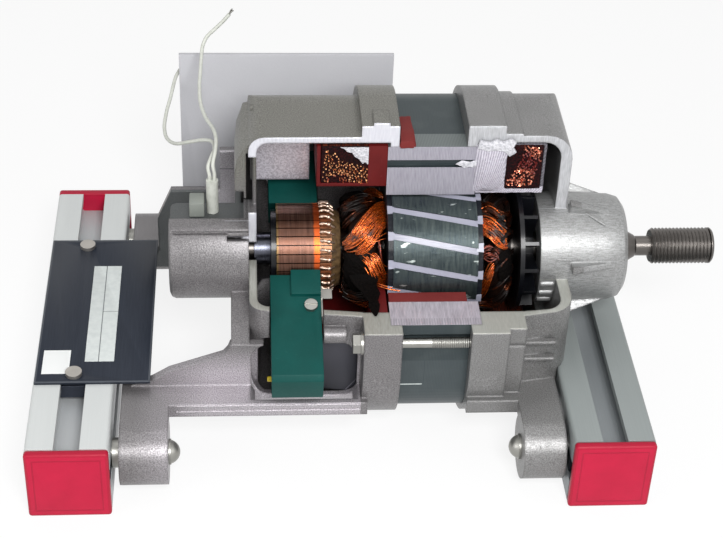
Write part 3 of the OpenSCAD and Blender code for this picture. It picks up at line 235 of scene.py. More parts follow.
def cast_finish(name, dark, light, cut_colour, level_colour, bright_hub=False):
    f = Finish(name)
    fine = f.noise(0.5, 2)
    patch = f.cloud(13, 3, 0.32, 0.68)
    speckle = f.ramp(fine, 0.36, 0.64)
    f.base = f.mix(speckle, dark, light)
    f.lay(patch * 0.3, dark)
    pit = f.cloud(1.3, 2, 0.68, 0.76, 5.0)
    f.lay(pit * 0.35, (96, 95, 90))
    if bright_hub:
        hub_r = 29
        from_axis = f.y * f.y + f.rise * f.rise
        hub = f.sx.within(222, 262.5) * (from_axis < hub_r * hub_r)
        grain = f.cloud((3, 0.6, 0.6), 2, 0.4, 0.62, 2.0)
        f.lay(hub * (0.2 + grain * 0.3), (178, 180, 180))
    else:
        # painted shade: the top faces of the housing, from 24 mm over the shaft upwards, are painted darker
        # and more olive
        crown_shade = f.ramp(f.rise, 24, 44) * (f.sx > 79)
        f.lay(crown_shade * 0.6, f.mix(speckle, (88, 88, 78), (124, 124, 112)))
        # painted light: the lower front face of the housing is painted paler, as if lit
        web_light = (f.y < -34) * f.ramp(f.rise, -16, -30) * f.ramp(f.sx, 44, 76) * (f.sx < 142)
        f.lay(web_light * 0.75, f.mix(speckle, (144, 139, 144), (206, 200, 206)))
        # painted light: the inner face of the rear flank, 22 mm behind the shaft, is painted pale with a
        # speckle, as if lit
        lit_inner_face = f.y.near(22, 0.3) * f.sx.within(96, 123) * f.rise.within(19, 52)
        lit_speckle = f.mix(f.cloud(0.7, 2, 0.36, 0.62, 9.0), (186, 180, 190), (226, 222, 230))
        f.lay(lit_inner_face, lit_speckle)
        # painted light and shade: the rear recess face is painted pale as if lit beyond shelf_end_sx, and
        # dark as shade before it and on the shelf over the shaft
        shelf_z, shelf_end_sx = 12.4, 76
        recess = f.y.near(46, 1.2) * (f.sx < 94)
        shelf_shade = recess * (f.sx < shelf_end_sx)
        shelf_shade = shelf_shade.highest(f.rise.near(shelf_z, 0.2) * (f.sx < 94) * (f.y > 0))
        pale = f.mix(speckle, (150, 146, 152), (206, 202, 208))
        f.lay(recess * (f.sx > shelf_end_sx) * 0.7, pale)
        f.lay(shelf_shade * 0.75, (66, 72, 72))
    upright, level = cut_of(f)
    scratch = f.cloud((0.5, 4, 4), 2, 0.3, 0.7)
    teeth = (f.sx.ripple(1.7) > 0.75) * (f.rise > 60) * f.sx.within(96, COLLAR_SX)
    f.lay(upright, f.mix(scratch * 0.35, cut_colour, (226, 227, 230)))
    f.lay(upright * teeth * 0.22, (150, 150, 150))
    f.lay(level, f.mix(scratch * 0.3, level_colour, (192, 192, 186)))
    cut = upright.highest(level)
    rough = 0.5 - fine * 0.12 - cut * 0.08
    height = fine * (1 - cut) - pit
    return f.done(rough - 0.06, 0.5 - cut * 0.3, height, 0.1, edge=1.3)


def rail_finish(name, colour, dark):
    f = Finish(name)
    drawn = f.noise((0.35, 60, 0.35), 3)
    soft = f.cloud((9, 50, 9), 2, 0.3, 0.7)
    f.base = f.mix(f.ramp(drawn, 0.3, 0.7) * 0.22, colour, dark)
    f.lay(soft * 0.25, dark)
    # painted shade: the rail turns darker from 33 mm high down to 27 mm and stays so below, over its slot and
    # lower face
    deep_shade = f.ramp(f.z, 33.0, 27.0)
    f.lay(deep_shade * 0.35, (120, 122, 132))
    return f.done(0.4 + drawn * 0.1, 0.2, drawn, 0.012, edge=0.3)


def cap_finish(name, left_edge):
    """Moulded end cap with a shallow square line inside its rim; the line and the rim's edges are painted
    darker as shade.
    """
    f = Finish(name)
    cloud = f.cloud(9, 3, 0.3, 0.7)
    fine = f.noise(0.8, 2)
    from_side = (f.sx - left_edge).lowest(left_edge + RAIL_W - f.sx)
    rim = from_side.lowest(f.z).lowest(RAIL_W - f.z)
    line = rim.near(3.4, 0.28) * (abs(f.y) > CAP_FACE_Y)
    f.base = f.mix(cloud * 0.5, (180, 18, 56), (162, 14, 48))
    # painted shade: the square line and a band along the rim's edges are painted darker
    f.lay(line * 0.35, (126, 12, 36))
    f.lay((rim < 1.3) * 0.5, (150, 14, 40))
    height = fine * 0.1 - line
    return f.done(0.36 + fine * 0.1, 0.0, height, 0.3, edge=0.8, gloss=0.25)


def steel_finish(name, colour, rough, turned=False):
    f = Finish(name)
    marks = f.noise((0.12, 9, 9) if turned else (1.4, 1.4, 1.4), 3)
    blotch = f.cloud(5, 2, 0.3, 0.75)
    f.base = f.mix(blotch * 0.3, colour, times(colour, 0.62))
    return f.done(rough + marks * 0.14, 1.0, marks, 0.03, edge=0.2)


def plastic_finish(name, colour, shade, rough, grain, depth, edge, coat=0.0):
    f = Finish(name)
    cloud = f.cloud(11, 3, 0.3, 0.72)
    fine = f.noise(grain, 3)
    f.base = f.mix(cloud * 0.55, colour, shade)
    worn = f.cloud((2.2, 0.5, 2.2), 4, 0.66, 0.72, 3.0)
    f.lay(worn * 0.25, times(colour, 1.6, 0.03))
    return f.done(rough + fine * 0.12, 0.0, fine, depth, coat, edge, 0.2)


def nameplate_finish():
    f = Finish("satin_navy_plate")
    grain = f.noise((0.4, 12, 0.4), 2)
    f.base = f.mix(f.ramp(grain, 0.3, 0.7) * 0.5, (32, 37, 47), (45, 50, 60))
    pale = f.mix(f.cloud(3, 3, 0.35, 0.7) * 0.5, (206, 211, 209), (182, 188, 188))
    top = f.z > 36.0
    box = f.sx.within(21.6, 34.4) * f.y.within(-38.5, 31.5) * top
    f.lay(box, pale)
    upright_rule = 27.6
    rule = f.sx.near(upright_rule, 0.22).highest(f.y.near(-3, 0.16) * (f.sx > upright_rule))
    f.lay(box * rule * 0.75, (52, 56, 64))
    patch = f.sx.within(3.4, 15.2) * f.y.within(-46.6, -30.5) * top
    f.lay(patch, (224, 226, 225))
    rim = (abs(f.y) > 51.6).highest(f.sx < 1.5).highest(f.sx > 49.9) * top
    f.lay(rim * 0.6, (88, 92, 98))
    return f.done(0.34 + grain * 0.1, 0.15, grain, 0.02, edge=0.2, gloss=0.2)


def core_finish():
    f = Finish("laminated_core")
    sheet = f.sx.ripple(0.66)
    lines = f.cloud((0.3, 30, 30), 2, 0.35, 0.65)
    f.base = f.mix(lines * 0.3, (42, 52, 55), (55, 65, 67))
    f.lay(f.cloud(9, 3, 0.5, 0.75) * 0.35, (70, 78, 78))
    front = f.y < CORE_FRONT_Y
    low = (f.rise < -19.5) * (f.y < -50)
    f.lay(low * 0.35, (76, 84, 87))
    weld = f.rise.near(-33.1, 0.26) * front * (f.sx < 169)
    step = f.rise.near(-19.7, 0.16) * front
    joint = f.sx.near(169.6, 0.16) * f.rise.within(-33, -19.7) * front
    f.lay(step.highest(joint) * 0.6, (44, 54, 58))
    f.lay(weld, (196, 204, 202))
    lip = f.rise.near(57, 0.3) * (f.y < 5.5)
    f.lay(lip * 0.7, f.mix(sheet, (96, 104, 104), (128, 134, 132)))
    upright, level = cut_of(f)
    shine = f.cloud((0.7, 6, 6), 3, 0.3, 0.7)
    face = f.mix(sheet * 0.45, (164, 161, 172), (120, 118, 130))
    face = f.mix(shine * 0.45, face, (190, 187, 197))
    f.lay(upright, face)
    bright = f.mix(shine, (172, 165, 174), (206, 199, 208))
    fringe = (f.y < -51.5) * f.sx.ripple(1.1)
    f.lay(level, f.mix(fringe * 0.4, bright, (110, 112, 120)))
    cut = upright.highest(level)
    return f.done(0.42 - cut * 0.04, 0.2 + cut * 0.1, sheet * (0.25 + cut), 0.12, edge=0.25)


def rotor_core_finish():
    f = Finish("rotor_laminations")
    sheet = f.sx.ripple(0.6)
    stain = f.cloud((1.1, 7, 7), 3, 0.3, 0.7)
    f.base = f.mix(sheet * 0.5, (34, 43, 47), (70, 81, 85))
    f.lay(stain * 0.4, (88, 97, 92))
    # painted glints: small bright spots on the laminations stand in for highlights
    painted_glints = f.cloud((5, 2.2, 2.2), 3, 0.66, 0.74, 4.0)
    f.lay(painted_glints * 0.85, (196, 206, 202))
    left_end, right_end = ROTOR_ENDS
    ends = (f.sx < left_end + 0.02).highest(f.sx > right_end - 0.02)
    f.lay(ends * 0.7, (24, 29, 34))
    return f.done(0.26 + stain * 0.16, 0.7, sheet, 0.05)


def bar_finish():
    f = Finish("commutator_copper")
    round_marks = f.noise((0.25, 14, 14), 3)
    tint = f.cloud((3.0, 2.0, 2.0), 2, 0.3, 0.7)
    f.base = f.mix(f.ramp(round_marks, 0.32, 0.68), (66, 46, 38), (118, 86, 74))
    f.lay(tint * 0.45, (96, 62, 46))
    worn_edge = f.ramp(f.sx, 107.4, 106.4)
    f.lay(worn_edge * 0.6, (122, 102, 58))
    fresh = f.ramp(f.sx + f.noise((3, 2, 2), 2) * 1.2, 122.9, 123.6)
    f.lay(fresh, (206, 92, 42))
    tinned = f.sx > 125.15
    f.lay(tinned, (120, 86, 64))
    return f.done(0.3 + round_marks * 0.16, 0.9, round_marks, 0.05)


def wire_finish(name, bright, mid, dark, dark_from, coat=0.5, gloss=0.5):
    """Enamelled wire that turns dark where varnish has soaked in, with painted shade on the strands that lie
    nearer the shaft.
    """
    f = Finish(name)
    tone = f.cloud((2.5, 0.7, 0.7), 3, 0.36, 0.64)
    f.base = f.mix(tone, mid, bright)
    spoke = f.node("CombineXYZ", [0.0, f.y, f.rise])
    across = f.node("VectorMath", {0: spoke}, "Value", operation="LENGTH")
    # painted shade: strands nearer the shaft, under the outer ones, are painted darker
    left_deep_shade = f.ramp(across, 25.2, 22.4) * (f.sx < 156)
    deep_shade = left_deep_shade + f.ramp(across, 26.8, 24.4) * (f.sx > 190) * (f.sx < 206)
    f.lay(deep_shade * 0.6, dark)
    soaked = f.ramp(f.noise(9, 3, 1.7), dark_from, dark_from + 0.08)
    f.lay(soaked, dark)
    return f.done(0.26 + soaked * 0.2, 0.85 - soaked * 0.6, tone, 0.04, coat, gloss=gloss)


def varnish_finish(name, colour, shade, rough=0.3, coat=0.4, lump=1.6, gloss=0.5):
    f = Finish(name)
    lumps = f.noise(lump, 4)
    f.base = f.mix(f.ramp(lumps, 0.35, 0.65), colour, shade)
    plates = f.sx.within(154.3, 156.7).highest(f.sx.within(193.5, 195.9))
    f.lay(plates * 0.85, (20, 25, 32))
    return f.done(rough + lumps * 0.2, 0.0, lumps, 0.5, coat, gloss=gloss)


def coil_finish():
    f = Finish("potted_coil")
    turns = f.noise((0.5, 8, 0.5), 2)
    f.base = f.mix(f.ramp(turns, 0.4, 0.62), (30, 13, 11), (92, 40, 25))
    inside = f.y.near(CUT_Y, 0.6)
    f.lay(inside, f.mix(f.cloud(0.8, 2, 0.42, 0.66), (9, 2, 4), (44, 7, 9)))
    return f.done(0.7, 0.0, turns, 0.4, gloss=0.12)


def wrap_finish():
    """White string that fans out from the foot of the wrapping, with the grooves between its cords painted
    darker as shade.
    """
    f = Finish("white_string_wrap")
    fan = (f.sx - 190).turn_over(f.rise - 4)
    cords = (fan * 44).ripple(0.9)
    fray = f.cloud(1.3, 4, 0.35, 0.7)
    # painted shade: the grooves between the cords are painted darker
    f.base = f.mix(cords * 0.75, (200, 195, 206), (120, 116, 132))
    f.lay(fray * 0.4, (216, 213, 221))
    right_side = (f.sx > 206).lowest(f.rise > 36.2)
    f.lay(right_side * 0.85, (64, 62, 68))
    return f.done(0.6, 0.0, cords * 0.8 + fray * 0.6, 0.35)


def window_finish():
    f = Finish("shaded_window_casting")
    fine = f.noise(0.5, 2)
    # painted light and shade: darker towards the bottom left, paler towards the top right
    lit = f.ramp(f.rise + (f.sx - 135) * 0.7, -52, -22)
    f.base = f.mix(lit, (20, 22, 28), (78, 78, 86))
    # painted highlight: a pale diagonal line across the face
    highlight_streak = (f.rise - (f.sx - 126) * 1.15).near(-58, 0.35)
    f.lay(highlight_streak * 0.4, (140, 138, 148))
    return f.done(0.4 + fine * 0.12, 0.3, fine, 0.06)


def panel_finish():
    f = Finish("pale_rear_panel")
    fine = f.noise(0.7, 3)
    cloud = f.cloud(26, 3, 0.3, 0.7)
    f.base = f.mix(cloud * 0.4, (184, 184, 188), (176, 176, 181))
    f.lay(f.ramp(fine, 0.4, 0.65) * 0.2, (192, 192, 196))
    return f.done(0.5 + fine * 0.1, 0.1, fine, 0.04, edge=0.3)


def carbon_finish():
    f = Finish("pressed_carbon")
    fine = f.noise(0.4, 3)
    f.base = f.mix(f.ramp(fine, 0.35, 0.65), (38, 38, 40), (60, 60, 62))
    return f.done(0.5, 0.2, fine, 0.05, edge=0.2)


def stained_finish(name, size, detail, low, high, share, clean, stained, rough, depth):
    f = Finish(name)
    stain = f.cloud(size, detail, low, high)
    f.base = f.mix(stain * share, clean, stained)
    return f.done(rough, 0.0, stain, depth)


FINISH = {
    "light_rail": rail_finish("light_drawn_aluminium", (203, 206, 205), (186, 189, 189)),
    "grey_rail": rail_finish("grey_drawn_aluminium", (143, 149, 148), (126, 132, 132)),
    "left_cap": cap_finish("left_crimson_cap", 0.0),
    "right_cap": cap_finish("right_crimson_cap", RIGHT_RAIL_SX),
    "plate": nameplate_finish(),
    "zinc": steel_finish("bright_zinc", (158, 157, 152), 0.3),
    "pale_screw": steel_finish("pale_screw_heads", (172, 168, 162), 0.42),
    "nut": steel_finish("dull_slot_nut", (70, 74, 84), 0.4),
    "turned": steel_finish("turned_steel", (104, 100, 97), 0.26, True),
    "solder": steel_finish("dull_solder", (206, 180, 162), 0.32),
    "dark_steel": steel_finish("dark_steel", (92, 94, 104), 0.22, True),
    "left_casting": cast_finish("left_casting", (97, 95, 96), (138, 135, 136), (196, 196, 204),
                                (146, 146, 138)),
    "right_casting": cast_finish("right_casting", (106, 106, 105), (144, 143, 143), (160, 161, 164),
                                 (156, 157, 150), True),
    "core": core_finish(),
    "rotor_core": rotor_core_finish(),
    "bars": bar_finish(),
    "bright_wire": wire_finish("bright_enamelled_wire", (236, 118, 36), (152, 60, 15), (58, 21, 8),
                               0.58, 0.6),
    "soaked_wire": wire_finish("varnish_soaked_wire", (96, 44, 18), (46, 20, 10), (16, 8, 6), 0.4, 0.12, 0.2),
    "red_wire": wire_finish("reddish_wire", (126, 48, 26), (70, 24, 16), (30, 12, 10), 0.55),
    "wire_end": wire_finish("cut_wire_ends", (240, 184, 132), (206, 122, 74), (140, 58, 34), 0.62),
    "coral_end": wire_finish("coral_wire_ends", (240, 162, 132), (196, 98, 72), (104, 30, 26), 0.56),
    "varnish": varnish_finish("dark_varnish", (13, 7, 6), (30, 15, 9), 0.4, 0.1, 1.6, 0.12),
    "tape": varnish_finish("black_tape", (4, 3, 3), (12, 9, 8), 0.6, 0.0, 1.0, 0.04),
    "resin": varnish_finish("amber_resin", (66, 48, 28), (104, 80, 50), 0.45, 0.1, 2.4),
    "hub": varnish_finish("brown_moulding", (52, 34, 22), (72, 48, 30)),
    "coil": coil_finish(),
    "wrap": wrap_finish(),
    "torn": stained_finish("torn_white_paper", 0.9, 4, 0.35, 0.7, 1.0,
                           (172, 172, 178), (222, 221, 226), 0.6, 0.3),
    "window": window_finish(),
    "maroon": plastic_finish("maroon_bobbin", (92, 18, 18), (66, 9, 11), 0.5, 1.4, 0.06, 0.15),
    "paper": plastic_finish("pressed_paper", (116, 44, 42), (90, 28, 30), 0.6, 0.5, 0.1, 0.1),
    "liner": plastic_finish("slot_liner", (154, 154, 168), (136, 137, 154), 0.36, 1.5, 0.04, 0.2, 0.3),
    "green": plastic_finish("green_holder", (2, 68, 63), (1, 55, 51), 0.5, 1.2, 0.05, 0.15),
    "black": plastic_finish("black_moulding", (7, 8, 11), (15, 16, 21), 0.3, 1.6, 0.03, 0.3, 0.3),
    "grey_plastic": plastic_finish("grey_socket", (138, 142, 136), (120, 124, 120), 0.5, 0.9, 0.05, 0.3),
    "sleeve": stained_finish("white_lead_sleeve", 2, 3, 0.45, 0.75, 0.6,
                             (196, 198, 190), (170, 172, 164), 0.5, 0.05),
    "panel": panel_finish(),
    "carbon": carbon_finish(),
    "ochre": plastic_finish("ochre_pin", (176, 156, 40), (140, 120, 30), 0.4, 0.8, 0.05, 0.1),
}


# Piece making

def settle(obj, slot, *stands_for, body="frame"):
    """Hangs a finished piece on its body and hides the solids that it stands for; slot is not used."""
    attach(obj, body)
    if stands_for:
        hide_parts(*stands_for)


def new_object(name, mesh, finish=None):
    obj = bpy.data.objects.new(name, mesh)
    SCENE.collection.objects.link(obj)
    if finish:
        mesh.materials.clear()
        mesh.materials.append(FINISH[finish])
    return obj


def mesh_object(name, points, faces, finish, smooth=40):
    mesh = bpy.data.meshes.new(name)
    mesh.from_pydata([tuple(p) for p in points], [], faces)
    mesh.update()
    mesh.shade_smooth()
    mesh.set_sharp_from_angle(angle=radians(smooth))
    return new_object(name, mesh, finish)


def baked(obj):
    """Turns an object with modifiers into a plain mesh."""
    view = bpy.context.evaluated_depsgraph_get()
    mesh = bpy.data.meshes.new_from_object(obj.evaluated_get(view), depsgraph=view)
    old = obj.data
    obj.modifiers.clear()
    obj.data = mesh
    mesh.name = obj.name
    if old.users == 0:
        bpy.data.meshes.remove(old)
    return obj


def modify(obj, kind, **settings):
    """Adds a modifier with its settings."""
    set_all(obj.modifiers.new(kind.lower(), kind), settings)


def round_off(obj, radius, steps, limit, smooth):
    """Rounds the edges that turn more than the limit, in degrees, and shades the rest smooth."""
    if radius:
        modify(obj, "BEVEL", width=radius * MM, segments=steps, limit_method="ANGLE",
               angle_limit=radians(limit), use_clamp_overlap=True)
        baked(obj)
    obj.data.shade_smooth()
    obj.data.set_sharp_from_angle(angle=radians(smooth))
    return obj


def smooth_copy(node, name, finish, round_edge=0.0, steps=2):
    """A welded copy of a solid, with its long flats joined and its edges rounded."""
    mesh = NODES[node].data.copy()
    work = bmesh.new()
    work.from_mesh(mesh)
    bmesh.ops.remove_doubles(work, verts=work.verts, dist=2e-6)
    bmesh.ops.dissolve_limit(work, angle_limit=radians(0.4), verts=work.verts, edges=work.edges)
    work.to_mesh(mesh)
    work.free()
    for label in [a.name for a in mesh.attributes if a.name in ("custom_normal", "sharp_edge")]:
        mesh.attributes.remove(mesh.attributes[label])
    return round_off(new_object(name, mesh, finish), round_edge, steps, 40, 35)


class Grower:
    """Writes one Geometry Nodes tree with named inputs for its sizes, and runs it on an object."""

    def __init__(self, name, **sizes):
        kinds = {float: "Float", int: "Int", bpy.types.Material: "Material"}
        self.tree = bpy.data.node_groups.new(name, "GeometryNodeTree")
        for way in ("INPUT", "OUTPUT"):
            self.tree.interface.new_socket("Geometry", in_out=way, socket_type="NodeSocketGeometry")
        for label, value in sizes.items():
            kind = "NodeSocket" + kinds[type(value)]
            self.tree.interface.new_socket(label, in_out="INPUT", socket_type=kind)
        self.sizes = sizes
        self.given = self.tree.nodes.new("NodeGroupInput")
        self.result = self.tree.nodes.new("NodeGroupOutput")

    def size(self, label):
        return self.given.outputs[label]

    def node(self, kind, inputs=(), out=0, **settings):
        return write_node(self.tree, kind, inputs, **settings).outputs[out]

    def grow(self, obj, geometry):
        """Ends the tree with Realize Instances and Set Material, and bakes it on the object."""
        real = self.node("GeometryNodeRealizeInstances", {"Geometry": geometry})
        done = self.node("GeometryNodeSetMaterial", {"Geometry": real, "Material": self.size("finish")})
        self.tree.links.new(done, self.result.inputs[0])
        modifier = obj.modifiers.new("grower", "NODES")
        modifier.node_group = self.tree
        for item in self.tree.interface.items_tree:
            if item.item_type == "SOCKET" and item.in_out == "INPUT" and item.name in self.sizes:
                modifier[item.identifier] = self.sizes[item.name]
        return baked(obj)


def bare_lines(name, points, edges=()):
    """Points and edges for a tree to grow on."""
    mesh = bpy.data.meshes.new(name)
    mesh.from_pydata([tuple(p) for p in points], edges, [])
    return new_object(name, mesh)


def wires(name, paths, radius, finish, sides):
    """Round wires along paths, one tube for each."""
    points, edges = [], []
    for path in paths:
        edges += [(len(points) + i, len(points) + i + 1) for i in range(len(path) - 1)]
        points += path
    obj = bare_lines(name, points, edges)
    g = Grower(name + "_tree", radius=radius * MM, sides=sides, finish=FINISH[finish])
    line = g.node("GeometryNodeMeshToCurve", {"Mesh": g.size("Geometry")})
    ring = g.node("GeometryNodeCurvePrimitiveCircle",
                  {"Resolution": g.size("sides"), "Radius": g.size("radius")})
    tube = g.node("GeometryNodeCurveToMesh", {"Curve": line, "Profile Curve": ring, "Fill Caps": True})
    g.grow(obj, tube)
    obj.data.shade_smooth()
    return obj


def studs(name, points, radius, length, tilt, finish, sides, seed):
    """Short round ends that lie from front to back at many points, each a little tilted."""
    obj = bare_lines(name, points)
    g = Grower(name + "_tree", radius=radius * MM, length=length * MM, tilt=tilt, seed=seed, sides=sides,
               finish=FINISH[finish])
    rod = g.node("GeometryNodeMeshCylinder",
                 {"Vertices": g.size("sides"), "Radius": g.size("radius"), "Depth": g.size("length")})
    align = Vector((0, 0, 1)).rotation_difference(Vector((0, 1, 0))).to_euler()
    spread = g.node("ShaderNodeCombineXYZ", [g.size("tilt")] * 3)
    back = g.node("ShaderNodeVectorMath", {0: spread, "Scale": -1.0}, operation="SCALE")
    lean = g.node("FunctionNodeRandomValue", {0: back, 1: spread, "Seed": g.size("seed")},
                  data_type="FLOAT_VECTOR")
    turn = g.node("ShaderNodeVectorMath", [lean, tuple(align)], operation="ADD")
    least, most = 0.72, 1.18
    grown = g.node("FunctionNodeRandomValue", {2: least, 3: most, "Seed": g.size("seed")}, 1,
                   data_type="FLOAT")
    size = g.node("ShaderNodeCombineXYZ", [grown, grown, 1.0])
    many = g.node("GeometryNodeInstanceOnPoints",
                  {"Points": g.size("Geometry"), "Instance": rod, "Rotation": turn, "Scale": size})
    g.grow(obj, many)
    obj.data.set_sharp_from_angle(angle=radians(40))
    return obj


def closed(obj):
    """Turns every face of a closed mesh outwards."""
    fix = bmesh.new()
    fix.from_mesh(obj.data)
    bmesh.ops.recalc_face_normals(fix, faces=fix.faces)
    fix.to_mesh(obj.data)
    fix.free()
    return obj


def turned_mesh(name, profile, finish, sides, y, z):
    """A closed ring turned round a line along the shaft, from [place, radius] pairs."""
    points = [at(sx, y + r * cos(a), z + r * sin(a))
              for sx, r in profile for a in (2 * pi * i / sides for i in range(sides))]
    rings = [[i * sides + k for k in range(sides)] for i in range(len(profile))]
    faces = [(here[k], here[(k + 1) % sides], there[(k + 1) % sides], there[k])
             for here, there in zip(rings, rings[1:] + rings[:1]) for k in range(sides)]
    return closed(mesh_object(name, points, faces, finish))


def slab(name, outline, depth, finish, push, round_edge):
    """A flat piece from an outline of points, with a thickness pushed along a vector in mm."""
    n = len(outline)
    shift = Vector(push).normalized() * depth * MM
    points = list(outline) + [p + shift for p in outline]
    faces = [tuple(range(n)), tuple(range(2 * n - 1, n - 1, -1))]
    faces += [(i, (i + 1) % n, n + (i + 1) % n, n + i) for i in range(n)]
    return round_off(closed(mesh_object(name, points, faces, finish)), round_edge, 2, 30, 40)


def skin_faces(n, m, start=0):
    """Faces of a sheet with a front and a back layer of n rows of m points, and of its rim."""
    def cell(j, i, layer):
        return start + layer * n * m + j * m + i

    faces = []
    for j in range(n - 1):
        for i in range(m - 1):
            faces.append((cell(j, i, 0), cell(j, i + 1, 0), cell(j + 1, i + 1, 0), cell(j + 1, i, 0)))
            faces.append((cell(j, i, 1), cell(j + 1, i, 1), cell(j + 1, i + 1, 1), cell(j, i + 1, 1)))
    rim = [(0, i) for i in range(m)] + [(j, m - 1) for j in range(1, n)]
    rim += [(n - 1, i) for i in range(m - 2, -1, -1)] + [(j, 0) for j in range(n - 2, 0, -1)]
    for (j0, i0), (j1, i1) in zip(rim, rim[1:] + rim[:1]):
        faces.append((cell(j0, i0, 0), cell(j0, i0, 1), cell(j1, i1, 1), cell(j1, i1, 0)))
    return faces


def sheet(name, rows, depth, finish, push, waver=0.0, seed=1):
    """A bent sheet from rows of points, with a thickness pushed along a vector in mm."""
    dice = random.Random(seed)
    shift = Vector(push).normalized() * depth * MM
    front = [p + Vector([dice.uniform(-waver, waver) * MM for _ in range(3)]) for row in rows for p in row]
    points = front + [p + shift for p in front]
    faces = skin_faces(len(rows), len(rows[0]))
    return closed(mesh_object(name, points, faces, finish, 60))


def beads(name, points, radius, finish, squash):
    """Small round beads on many points."""
    obj = bare_lines(name, points)
    g = Grower(name + "_tree", radius=radius * MM, finish=FINISH[finish])
    ball = g.node("GeometryNodeMeshIcoSphere", {"Radius": g.size("radius"), "Subdivisions": 2})
    many = g.node("GeometryNodeInstanceOnPoints",
                  {"Points": g.size("Geometry"), "Instance": ball, "Scale": squash})
    g.grow(obj, many)
    obj.data.shade_smooth()
    return obj


# Leads

UPPER_ROUTE = [
    (-73.2, 12, 98), (-73.2, 12, 101.6), (-73.8, 13, 105.6), (-72.8, 17.4, 109.4), (-72.4, 24, 111.5),
    (-73.6, 32, 111.8), (-77.2, 42, 112), (-79.6, 52, 113.4), (-80.2, 62, 116.3), (-79.8, 70, 119.8),
    (-79.4, 76, 123.2), (-78.8, 80.4, 126.8), (-76.8, 83, 130.4), (-73, 84.4, 133.8), (-69.2, 85.2, 137.4),
    (-66.2, 85.5, 141),
]
LOOPED_ROUTE = [
    (-75.4, 12, 98), (-75.4, 12, 100.8), (-76, 13.6, 104), (-74.6, 17.6, 106.4), (-73.2, 23, 107.4),
    (-74.2, 28.8, 107.4), (-78.4, 34, 105), (-84.8, 39.6, 100.4), (-91.2, 46, 95.4), (-95.4, 54, 92.9),
    (-97, 62, 93.9), (-96.2, 71, 96.9), (-94.4, 79, 100.2), (-93.2, 85, 102.9), (-92, 90.4, 104.8),
    (-90.2, 94.8, 106),
]
LEAD_RADIUS = 0.85


def eased(route, steps):
    """Points on a smooth curve through a route, in metres."""
    points = [Vector(p) * MM for p in route]
    out = []
    for i in range(len(points) - 1):
        a, b, c, d = points[max(i - 1, 0)], points[i], points[i + 1], points[min(i + 2, len(points) - 1)]
        for k in range(steps):
            t = k / steps
            bend, twist = 2 * a - 5 * b + 4 * c - d, 3 * b - a - 3 * c + d
            out.append(0.5 * (2 * b + (c - a) * t + bend * t * t + twist * t ** 3))
    return out + [points[-1]]


def lay_leads():
    """The two free white leads with their bare ends."""
    for name, route, tips in (
            ("lead_upper_wire", UPPER_ROUTE, [(0.9, 0.1, 2.3), (1.9, 0.1, 1.9), (1.3, 0.4, 2.6)]),
            ("lead_looped_wire", LOOPED_ROUTE, [(1.3, 2.0, 0.6), (0.7, 2.2, 1.2), (1.6, 1.8, 1.3)])):
        line = eased(route, 6)
        cord = wires(name, [line], LEAD_RADIUS, "sleeve", 14)
        end = line[-1]
        strands = []
        for i, tip in enumerate(tips):
            tip = Vector(tip) * MM
            bow = Vector((0.12 * (i - 1), 0.1, 0.1)) * MM
            root = end - (end - line[-2]).normalized() * MM
            strands.append([root, end + 0.3 * tip + bow, end + tip * 0.7 + bow, end + tip])
        bare = wires(name + "_strands", strands, 0.3, "zinc", 6)
        settle(cord, "white_sleeve", name.replace("_wire", ""))
        settle(bare, "steel")


# Windings

def loop_strands(sx, length, r_out, bundle_r, loops, slant, strands, seed):
    """Strands inside the loops that wind round a head, as the solid's bundles lie."""
    dice = random.Random(seed)
    r_in, steps = 9.6, 22
    mid, half = (r_out + r_in) / 2, (r_out - r_in) / 2
    paths = []
    for s in range(strands):
        spin = 2 * pi * s / strands
        off = bundle_r * (0.66 if s else 0.0)
        path = []
        for i in range(loops * steps - 1):
            t = i / (loops * steps)
            q = 2 * pi * loops * t
            f = 2 * pi * t + radians(slant) * cos(q)
            lift = off * cos(spin + q * 0.5) + dice.uniform(-0.06, 0.06)
            side = off * sin(spin + q * 0.5)
            r = mid + (half - bundle_r + lift) * sin(q)
            x = sx + length / 2 - (length / 2 - bundle_r + lift) * cos(q)
            a = f + side / max(r, 8)
            path.append(at(x, r * cos(a), r * sin(a)))
        paths.append(path)
    return paths


# Bundles of strands: start and stop patch, start and stop radius, rise, strands, seed
BRIGHT_BUNDLES = (
    ((135.4, 137, 141), (154.0, 88, 101), 21.6, 24.6, 2.0, 24, 1),
    ((136.2, 140, 147), (154.0, 101, 117), 21.8, 24.8, 2.6, 28, 2),
    ((141.0, 147, 151), (153.6, 113, 124), 23.4, 24.8, 1.8, 17, 3),
    ((145.4, 154, 160), (153.8, 184, 198), 24.2, 24.6, 2.0, 21, 4),
    ((147.6, 150, 155), (154.0, 171, 181), 23.8, 24.6, 1.4, 13, 5),
    ((136.4, 136, 150), (154.0, 92, 134), 22.2, 25.0, 2.8, 8, 13),
    ((144.0, 150, 162), (154.0, 164, 200), 23.8, 24.8, 2.2, 7, 14),
    ((195.4, 106, 134), (207.0, 120, 150), 26.8, 25.6, 1.7, 8, 15),
    ((195.4, 111, 128), (206.8, 127, 147), 26.6, 25.2, 1.6, 33, 6),
    ((200.8, 160, 168), (195.6, 186, 203), 27.2, 26.8, 1.2, 21, 7),
)
RED_BUNDLES = (
    ((150.2, 118, 128), (152.6, 160, 176), 23.6, 23.8, 1.0, 9, 8),
    ((195.5, 144, 156), (203.6, 148, 158), 26.4, 26.0, 0.8, 12, 9),
    ((203.6, 116, 126), (207.6, 146, 160), 26.0, 24.6, 0.8, 9, 10),
)
LACED_BUNDLES = (
    ((195.2, 94, 110), (206.4, 108, 124), 27.2, 26.4, 1.2, 17, 11),
    ((136.0, 84, 98), (150.0, 72, 86), 22.6, 24.6, 1.6, 14, 12),
)


